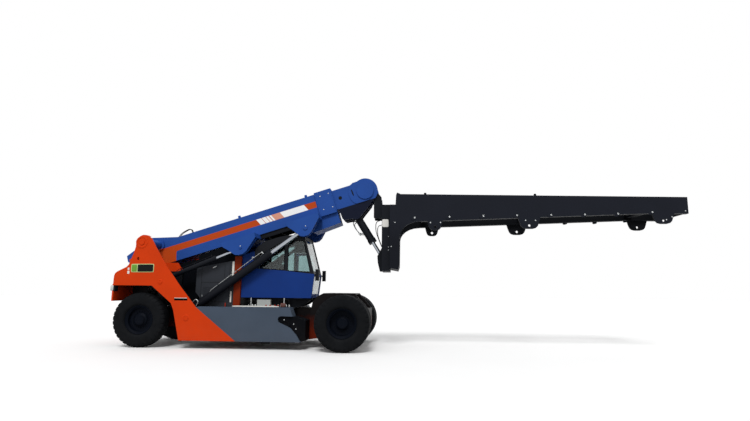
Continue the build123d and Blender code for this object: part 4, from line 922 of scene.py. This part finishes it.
class HANDLER_OT_boom_fittings(bpy.types.Operator):
    """Bolts, lips, dark openings, lugs, hoses and their guards on the boom, its head and its collar"""

    bl_idname = "handler.boom_fittings"
    bl_label = "Fit the boom's small parts"

    def execute(self, context):
        lean = math.degrees(BOOM_ANGLE)
        plugs = bolts(((4686, -41), (4686, -427), (4930, -31), (4943, -430)), COLLAR_FACE, 12, 9, on_boom)
        front = [(4992, w) for w in (-20, -110, -200, -290, -380, -470)]
        rear = [(4568, w) for w in (-20, -130, -240, -350, -460)]
        collar = bolts(front + rear, COLLAR_FACE, 10, 8, on_boom)
        lips = plates([
            (u, -250, 590, high, lean + 90) for u, high in ((4566, 40), (5000, 26))
        ], COLLAR_FACE, 5, 14.0, on_boom)
        bracket_bolts = bolts(((4155, -812), (2351, -806)), 939, 12, 10, on_boom)
        loop = ((560, 30), (650, 118), (790, 168), (930, 190), (985, 150), (985, 30))
        top_hoses = hoses([(y, loop) for y in (372, 327, 282)], 7, where=on_boom)
        tail_hoses = hoses([
            (y, ((-560, -60), (-700, -40), (-735, low + 140), (-560, low), (-380, low)))
            for y, low in ((250, -330), (180, -360), (110, -320))
        ], 19, where=on_boom)

        def holes(side):
            disc = ((0, 1.5), (50, 1.5), (52, -2), (0, -2))
            slot = side_plate(on_boom(5575, side * 347, -200), 190, 34, 3, side, lean - 85, 3.0)
            return join([lathe(disc, on_boom(5207, side * 330, -238), side, 40), slot])

        def lugs(side):
            return join([
                pillow(on_boom(u, side * 340, 90), BOOM_LINE, BOOM_UP, 0.038, 0.045, 0.016, 4.0, 32)
                for u in (2360, 4300)
            ])

        def guards(side):
            place = on_boom(3275, side * 335, -615)
            return pillow(place, BOOM_LINE, BOOM_UP, 0.675, 0.077, 0.014, 12.0)

        def under_lines(side):
            rows = []
            for k, (y, w) in enumerate((
                (40, -600), (120, -604), (200, -600), (280, -604), (80, -642), (160, -642), (240, -642)
            )):
                near, far = 2700 + 20 * k, 4030 - 25 * k
                rows.append((y, ((near, -550), (near + 60, w), (3300, w), (far - 70, w), (far, -550))))
            lines = hoses(rows, 27, 0.4, 8, 10, on_boom)
            clamps = [
                pillow(on_boom(u, side * 160, -622), BOOM_LINE, BOOM_UP, 0.024, 0.048, 0.330, 6.0, 24)
                for u in (2960, 3330, 3700)
            ]
            return join([lines(side), *clamps])

        add_pair("collar_plugs", plugs, "zinc", "boom")
        add_pair("collar_bolts", collar, "blue", "boom")
        add_pair("collar_lips", lips, "blue", "boom")
        add_pair("extension_openings", holes, "sign_black", "boom_extension")
        add_pair("boom_top_hoses", top_hoses, "hose", "boom")
        add_pair("boom_top_lugs", lugs, "blue", "boom")
        add_pair("bracket_bolts", bracket_bolts, "zinc", "boom")
        add_pair("boom_hose_guards", guards, "black", "boom")
        add_pair("boom_under_lines", under_lines, "hose", "boom")
        add_pair("boom_tail_hoses", tail_hoses, "hose", "boom")
        return {"FINISHED"}


class HANDLER_OT_tilt_hoses(bpy.types.Operator):
    """Hoses and unions on the tilt cylinders and down the back of the carriage"""

    bl_idname = "handler.tilt_hoses"
    bl_label = "Run the tilt hoses"

    def execute(self, context):
        along = np.array(JOINTS["tilt_stroke"]["axis"], float)
        away = np.array((along[2], 0.0, -along[0]))

        def place(side, run, out):
            base = np.array(JOINTS["tilt_swing"]["pos_m"], float)
            return base + (0, side * 0.176, 0) + along * run + away * out

        def tilt_hose(side):
            path = ((0.10, 0.09), (0.12, 0.20), (0.30, 0.215), (0.46, 0.19), (0.53, 0.09))
            return hose([place(side, run, out) for run, out in path], 0.011)

        def unions(side):
            upper = stud(place(side, 0.46, 0.185), away, 0.024, 0.034, 12)
            return join([upper, stud(place(side, 0.10, 0.090), away, 0.020, 0.030, 12)])

        path = ((905, 3380), (740, 3330), (742, 3060), (860, 2760), (905, 2650))
        carriage_hose = hoses(((470, path),), 10, 0.4)
        add_pair("tilt_hoses", tilt_hose, "hose_grey", "tilt_barrel_pair")
        add_pair("tilt_unions", unions, "zinc", "tilt_barrel_pair")
        add_pair("carriage_hoses", carriage_hose, "hose", "carriage")
        return {"FINISHED"}


class HANDLER_OT_beam_fittings(bpy.types.Operator):
    """Lugs with rings along the beams, bolts on the hangers and the mast, and small eyes on top"""

    bl_idname = "handler.beam_fittings"
    bl_label = "Fit the beam's small parts"

    def execute(self, context):
        rows = ((1786, 3408), (2704, 3435), (3589, 3455), (4463, 3476), (5342, 3489), (6204, 3499),
                (7049, 3519), (7912, 3567), (8746, 3599))
        lugs = plates([(x - 36, z - 28, 128, 74, 12) for x, z in rows[:-1]], BEAM_FACE, 12, 3.0)
        hanger_bolts = bolts(
            ((2201, 3278), (2464, 3279), (4678, 3341), (4934, 3341), (8253, 3369), (8400, 3440)),
            BEAM_FACE, 14, 12,
        )

        def rings(side):
            parts = [side_ring(at(x, side * (BEAM_FACE + 10), z), 17, 5) for x, z in rows[:-1]]
            return join(parts + [bolts(rows, BEAM_FACE, 13, 14)(side)])

        def eyes(side):
            return join([
                pillow(at(x, side * 730, z), (1, 0, 0), (0, 0, 1), 0.034, 0.034, 0.014, 3.0, 32)
                for x, z in ((2067, 4052), (4953, 4024))
            ])

        def mast_bolts(side):
            low = bolts(((1262, 3278), (1170, 2640)), BEAM_FACE, 11, 10)
            edge = bolts([(1090, z) for z in (2916, 2637, 2560)], 600, 9, 10)
            return join([low(side), edge(side)])

        add_pair("beam_lugs", lugs, "beam_black", "carriage")
        add_pair("beam_lug_rings", rings, "zinc", "carriage")
        add_pair("hanger_bolts", hanger_bolts, "zinc", "carriage")
        add_pair("beam_top_eyes", eyes, "beam_black", "carriage")
        add_pair("mast_bolts", mast_bolts, "zinc", "carriage")
        return {"FINISHED"}


# the windows' outlines as (x, z) in millimetres
SIDE_WINDOW = ((-1600, 1986), (-994, 1961), (-1190, 2788), (-1600, 2800))
REAR_WINDOW = ((-2379, 2056), (-1700, 2001), (-1700, 2746), (-1888, 2696), (-2187, 2505), (-2379, 2430))
DOOR_WINDOW = ((-1577, 1992), (-1061, 1992), (-1174, 2478), (-1577, 2478))


class HANDLER_OT_cab_trim(bpy.types.Operator):
    """Window gaskets, door handle, grab rail, foot plate, side console and side lamps of the cab"""

    bl_idname = "handler.cab_trim"
    bl_label = "Trim the cab"

    def execute(self, context):
        def gasket(outline, y):
            return pipe(soft_loop([at(x, y, z) for x, z in outline]), 0.009, 8, True)

        def lamp(side):
            profile = ((0, 16), (20, 14), (30, 4), (30, -4), (0, -4))
            return lathe(profile, at(-2560, side * CAB_FACE, 2330), side, 28)

        seals = [gasket(REAR_WINDOW, y) for y in (-621, 621)] + [gasket(SIDE_WINDOW, -621)]
        handle = [at(-1080, y, z) for y, z in ((628, 1560), (664, 1580), (664, 1800), (628, 1820))]
        rail = [at(-1760, y, z) for y, z in ((622, 1480), (668, 1500), (668, 1860), (622, 1880))]
        plate = block(at(-1296, -560, 1262), (210, 120, 24))
        cabinet = block(at(-1940, -440, 1745), (500, 150, 850), 12.0, 0.1)
        shelf = block(at(-2240, -440, 1685), (140, 150, 730), 12.0, 0.1)
        add_piece("cab_window_gaskets", join(seals), "hose", "chassis")
        add_piece("door_window_gasket", gasket(DOOR_WINDOW, 621), "hose", "door")
        add_piece("door_handle", hose(handle, 0.011, 0.4, 8), "zinc", "door")
        add_piece("cab_grab_rail", hose(rail, 0.015, 0.3, 8), "cab_dark", "chassis")
        add_piece("cab_foot_plate", plate, "black", "chassis")
        add_piece("cab_side_console", join([cabinet, shelf]), "cab_dark", "chassis")
        add_pair("cab_side_lamps", lamp, "lens", "chassis")
        return {"FINISHED"}


class HANDLER_OT_deck_fittings(bpy.types.Operator):
    """Edge plates, mounts, filter boxes, hoses, unions, caps and a lever on the deck, the pads under
    the skirts and the pipes at the lift cylinders' feet"""

    bl_idname = "handler.deck_fittings"
    bl_label = "Fit the deck's small parts"

    def execute(self, context):
        def rows_out(k):
            return 560 + 14 * (k % 3)

        def deck_hoses(side):
            parts = []
            for k, (x0, x1, high) in enumerate((
                (-1830, -1690, 190), (-1760, -1610, 170), (-1660, -1530, 205),
                (-2620, -2520, 200), (-2560, -2440, 180), (-2690, -2600, 150),
            )):
                path = ((x0, 0, 0), (x0, 0, 0.9), ((x0 + x1) / 2, 12, 1), (x1, 6, 0.8), (x1, 0, 0))
                parts.append(hose(
                    [at(x, side * (rows_out(k) + out), 1030 + high * share) for x, out, share in path],
                    0.016, per=8,
                ))
            return join(parts)

        def unions(side):
            rows = (-1830, -1760, -1690, -1660, -1610, -1530, -2620, -2520, -2440)
            return join([
                stud(at(x, side * rows_out(k), 1036), UP, 0.023, 0.055, 12) for k, x in enumerate(rows)
            ])

        def posts(side):
            return join([
                pipe([at(x, side * 590, 1036), at(x, side * 590, 1268)], 0.019) for x in (-2560, -1668)
            ])

        def caps(side):
            rows = [(x, 0.022, 0.055) for x in (-2120, -2010, -1885, -1800)] + [(-3218, 0.014, 0.095)]
            return join([stud(at(x, side * DECK_ROW, DECK_TOP), UP, r, h, 12) for x, r, h in rows])

        edges = blocks(-2330, 944, 1052, (1230, 26, 30), 20.0)
        filters = blocks(-1665, DECK_ROW, 1084, (138, 90, 104), 6.0)
        pads = blocks(-1936, 1250, 188, (234, 80, 60))
        path = ((-4000, 1034), (-4012, 1130), (-3925, 1222), (-3845, 1170), (-3905, 1034))
        foot_pipes = hoses(((950, path),), 13, 0.4)
        add_pair("deck_edge_plates", edges, "sign_white", "chassis")
        add_pair("cab_mounts", posts, "zinc", "chassis")
        add_pair("deck_filter_boxes", filters, "primer", "chassis")
        add_pair("deck_hoses", deck_hoses, "hose", "chassis")
        add_pair("deck_unions", unions, "zinc", "chassis")
        add_pair("deck_caps", caps, "cap_red", "chassis")
        add_pair("skirt_pads", pads, "hose", "chassis")
        add_pair("lift_foot_pipes", foot_pipes, "zinc", "chassis")
        return {"FINISHED"}


def cushion_reach(a):
    """How far out a cushion's outline lies at an angle: the superellipse |a|^5 + |b|^5 = 1, drawn in 4%
    between its corners."""
    return (np.abs(np.cos(a)) ** 5 + np.abs(np.sin(a)) ** 5) ** -0.2 * (1 - 0.04 * np.cos(2 * a) ** 2)


def cushion_part(centre, across, upward, half_a, half_b, thick, channels, crown=0.02):
    """A stuffed cushion inside that outline: its top is a dome, its rim half a circle, its foot flat,
    and each channel is a Gaussian groove across it."""
    across, upward = np.asarray(across, float), np.asarray(upward, float)
    a = np.linspace(0, 2 * np.pi, 96, endpoint=False)[:, None]
    flat = np.linspace(0, 1, 22)
    rim = np.linspace(0, np.pi, 13)[1:-1]
    edge = thick / 2 / min(half_a, half_b)
    inner = flat * (1 - edge)
    rings = np.concatenate([inner, 1 - edge + edge * np.sin(rim), inner[::-1]])[None]
    high = np.concatenate([np.full(22, thick / 2), np.cos(rim) * thick / 2, np.full(22, -thick / 2)])[None]
    top = np.concatenate([np.ones(22), np.zeros(11 + 22)])[None]
    reach = cushion_reach(a) * rings
    x, y = half_a * reach * np.cos(a), half_b * reach * np.sin(a)
    groove = sum(0.014 * np.exp(-(((y / half_b - c) / 0.045) ** 2)) for c in channels)
    lift = high + (crown * (1 - rings ** 2) - groove * (1 - rings ** 6)) * top
    points = sum(
        part[..., None] * way for part, way in ((x, across), (y, upward), (lift, np.cross(across, upward)))
    )
    return surface(np.asarray(centre, float) + points, True, False)


class HANDLER_OT_seat(bpy.types.Operator):
    """The operator's cushioned seat with piped edges, in place of the plain one"""

    bl_idname = "handler.seat"
    bl_label = "Make the seat"

    def execute(self, context):
        low, high = node_box("operator_seat")

        def place(x, z):
            return np.array((low[0] + x, (low[1] + high[1]) / 2, low[2] + z))

        lean = np.array((-0.10, 0.0, 0.995))
        pad = cushion_part(place(0.330, 0.362), (1, 0, 0), (0, 1, 0), 0.235, 0.245, 0.110, (-0.5, 0.5))
        rest = cushion_part(place(0.085, 0.700), (0, 1, 0), lean, 0.235, 0.300, 0.085, (-0.35, 0.25), 0.018)
        seat = add_piece("seat_cushion", pad, "cloth", "chassis", ("operator_seat",), 60)
        back = add_piece("seat_back_cushion", rest, "cloth", "chassis", sharp=60)

        a = np.linspace(0, 2 * np.pi, 64, endpoint=False)
        ring = cushion_reach(a)[:, None] * np.stack([0.234 * np.cos(a), 0.244 * np.sin(a), 0 * a], -1)
        piping = pipe(ring + place(0.330, 0.362), 0.004, 8, True)
        add_piece("seat_piping", piping, "hose", "chassis")

        foot = block(place(0.330, 0.020), (340, 380, 40))
        column = block(place(0.330, 0.155), (230, 260, 240), 5.0, 0.1)
        shell = pillow(place(0.030, 0.670), (0, 1, 0), lean, 0.225, 0.290, 0.030, 5.0, 48)
        add_piece("seat_frame", join([foot, column, shell]), "black", "chassis")
        return {"FINISHED"}


def seen_directly(tree):
    """One for a ray from the camera, or one mirrored or passed on by metal or glass."""
    ray = grow(tree, "ShaderNodeLightPath").outputs
    shown = ray["Is Camera Ray"]
    for name in ("Is Glossy Ray", "Is Transmission Ray"):
        shown = grow(tree, "ShaderNodeMath", {"operation": "MAXIMUM", 0: shown, 1: ray[name]}).outputs[0]
    return shown


WHITE = (1, 1, 1, 1)
SKY_STRENGTH = 0.70
SUN_STRENGTH = 1.85
SUN_SPREAD = 18
SUN_TURN = (38, -16, 18)
# the camera that was fitted to the photograph: its place, and its turns about Z, X and its own view
CAMERA_PLACE = (1489, -13917, 1511)
CAMERA_TURNS = ((3.3, "Z"), (99.0, "X"), (0.6, "Z"))
LENS = 24.0


class HANDLER_OT_stage(bpy.types.Operator):
    """Plain pale floor, soft studio light, background and the camera of the photograph"""

    bl_idname = "handler.stage"
    bl_label = "Set the stage"

    def execute(self, context):
        scene = context.scene
        look = scene.handler_look
        scene.view_settings.view_transform = "Standard"
        # without it the chrome throws stray bright specks on the paint beside it
        scene.cycles.caustics_reflective = False

        corners = np.array([[(-60, -60, 0), (60, -60, 0)], [(-60, 90, 0), (60, 90, 0)]], float)
        floor = make_mesh("studio_floor", surface(corners, False, False))
        paper = Coat("studio_floor_paper", Roughness=0.9)
        colour = paper.patches((*look.floor_colour, 1.0), 0.01, 3.0)
        bounce = (*look.bounce_colour, 1.0)
        paper.link(paper.mix(bounce, colour, seen_directly(paper.tree)), "Base Color")
        floor.data.materials.append(paper.material)

        world = bpy.data.worlds.new("studio_world")
        scene.world = world
        world.use_nodes = True
        tree = world.node_tree
        tree.nodes.clear()
        light = grow(tree, "ShaderNodeBackground", {"Color": WHITE, "Strength": SKY_STRENGTH}).outputs[0]
        seen = grow(tree, "ShaderNodeBackground", {"Color": WHITE, "Strength": 1.0}).outputs[0]
        mixed = grow(tree, "ShaderNodeMixShader", {0: seen_directly(tree), 1: light, 2: seen}).outputs[0]
        grow(tree, "ShaderNodeOutputWorld", {0: mixed})

        lamp = bpy.data.lights.new("key_sun", "SUN")
        lamp.energy = SUN_STRENGTH
        lamp.angle = math.radians(SUN_SPREAD)
        key = bpy.data.objects.new("key_sun", lamp)
        key.rotation_euler = [math.radians(turn) for turn in SUN_TURN]
        scene.collection.objects.link(key)

        view = bpy.data.cameras.new("photo_camera")
        view.sensor_width = 36.0
        view.lens = LENS
        view.clip_end = 400
        camera = bpy.data.objects.new("photo_camera", view)
        pose = Matrix.Translation(Vector(at(*CAMERA_PLACE)))
        for turn, axis in CAMERA_TURNS:
            pose = pose @ Matrix.Rotation(math.radians(turn), 4, axis)
        camera.matrix_world = pose
        scene.collection.objects.link(camera)
        scene.camera = camera
        return {"FINISHED"}


class HANDLER_PT_panel(bpy.types.Panel):
    """Lists the steps that dress the handler"""

    bl_label = "Handler"
    bl_idname = "HANDLER_PT_panel"
    bl_space_type = "VIEW_3D"
    bl_region_type = "UI"
    bl_category = "Handler"

    def draw(self, context):
        look = context.scene.handler_look
        for name in ("lug_count", "lug_depth", "nut_count", "pipe_radius", "floor_colour", "bounce_colour"):
            self.layout.prop(look, name)
        for step in STEPS:
            self.layout.operator(step.bl_idname)


STEPS = (
    HANDLER_OT_finishes,
    HANDLER_OT_tyres,
    HANDLER_OT_wheel_fittings,
    HANDLER_OT_cylinder_lines,
    HANDLER_OT_signs,
    HANDLER_OT_covers,
    HANDLER_OT_power_trim,
    HANDLER_OT_boom_fittings,
    HANDLER_OT_tilt_hoses,
    HANDLER_OT_beam_fittings,
    HANDLER_OT_cab_trim,
    HANDLER_OT_deck_fittings,
    HANDLER_OT_seat,
    HANDLER_OT_stage,
)
CLASSES = (HandlerLook, *STEPS, HANDLER_PT_panel)


def register():
    """Registers the add-on's classes and its settings."""
    for item in CLASSES:
        bpy.utils.register_class(item)
    bpy.types.Scene.handler_look = PointerProperty(type=HandlerLook)


def unregister():
    """Takes the settings and classes out again."""
    del bpy.types.Scene.handler_look
    for item in reversed(CLASSES):
        bpy.utils.unregister_class(item)


def main():
    """Dresses the frame in order."""
    register()
    for step in STEPS:
        family, name = step.bl_idname.split(".")
        getattr(getattr(bpy.ops, family), name)()


if __name__ == "__main__":
    main()
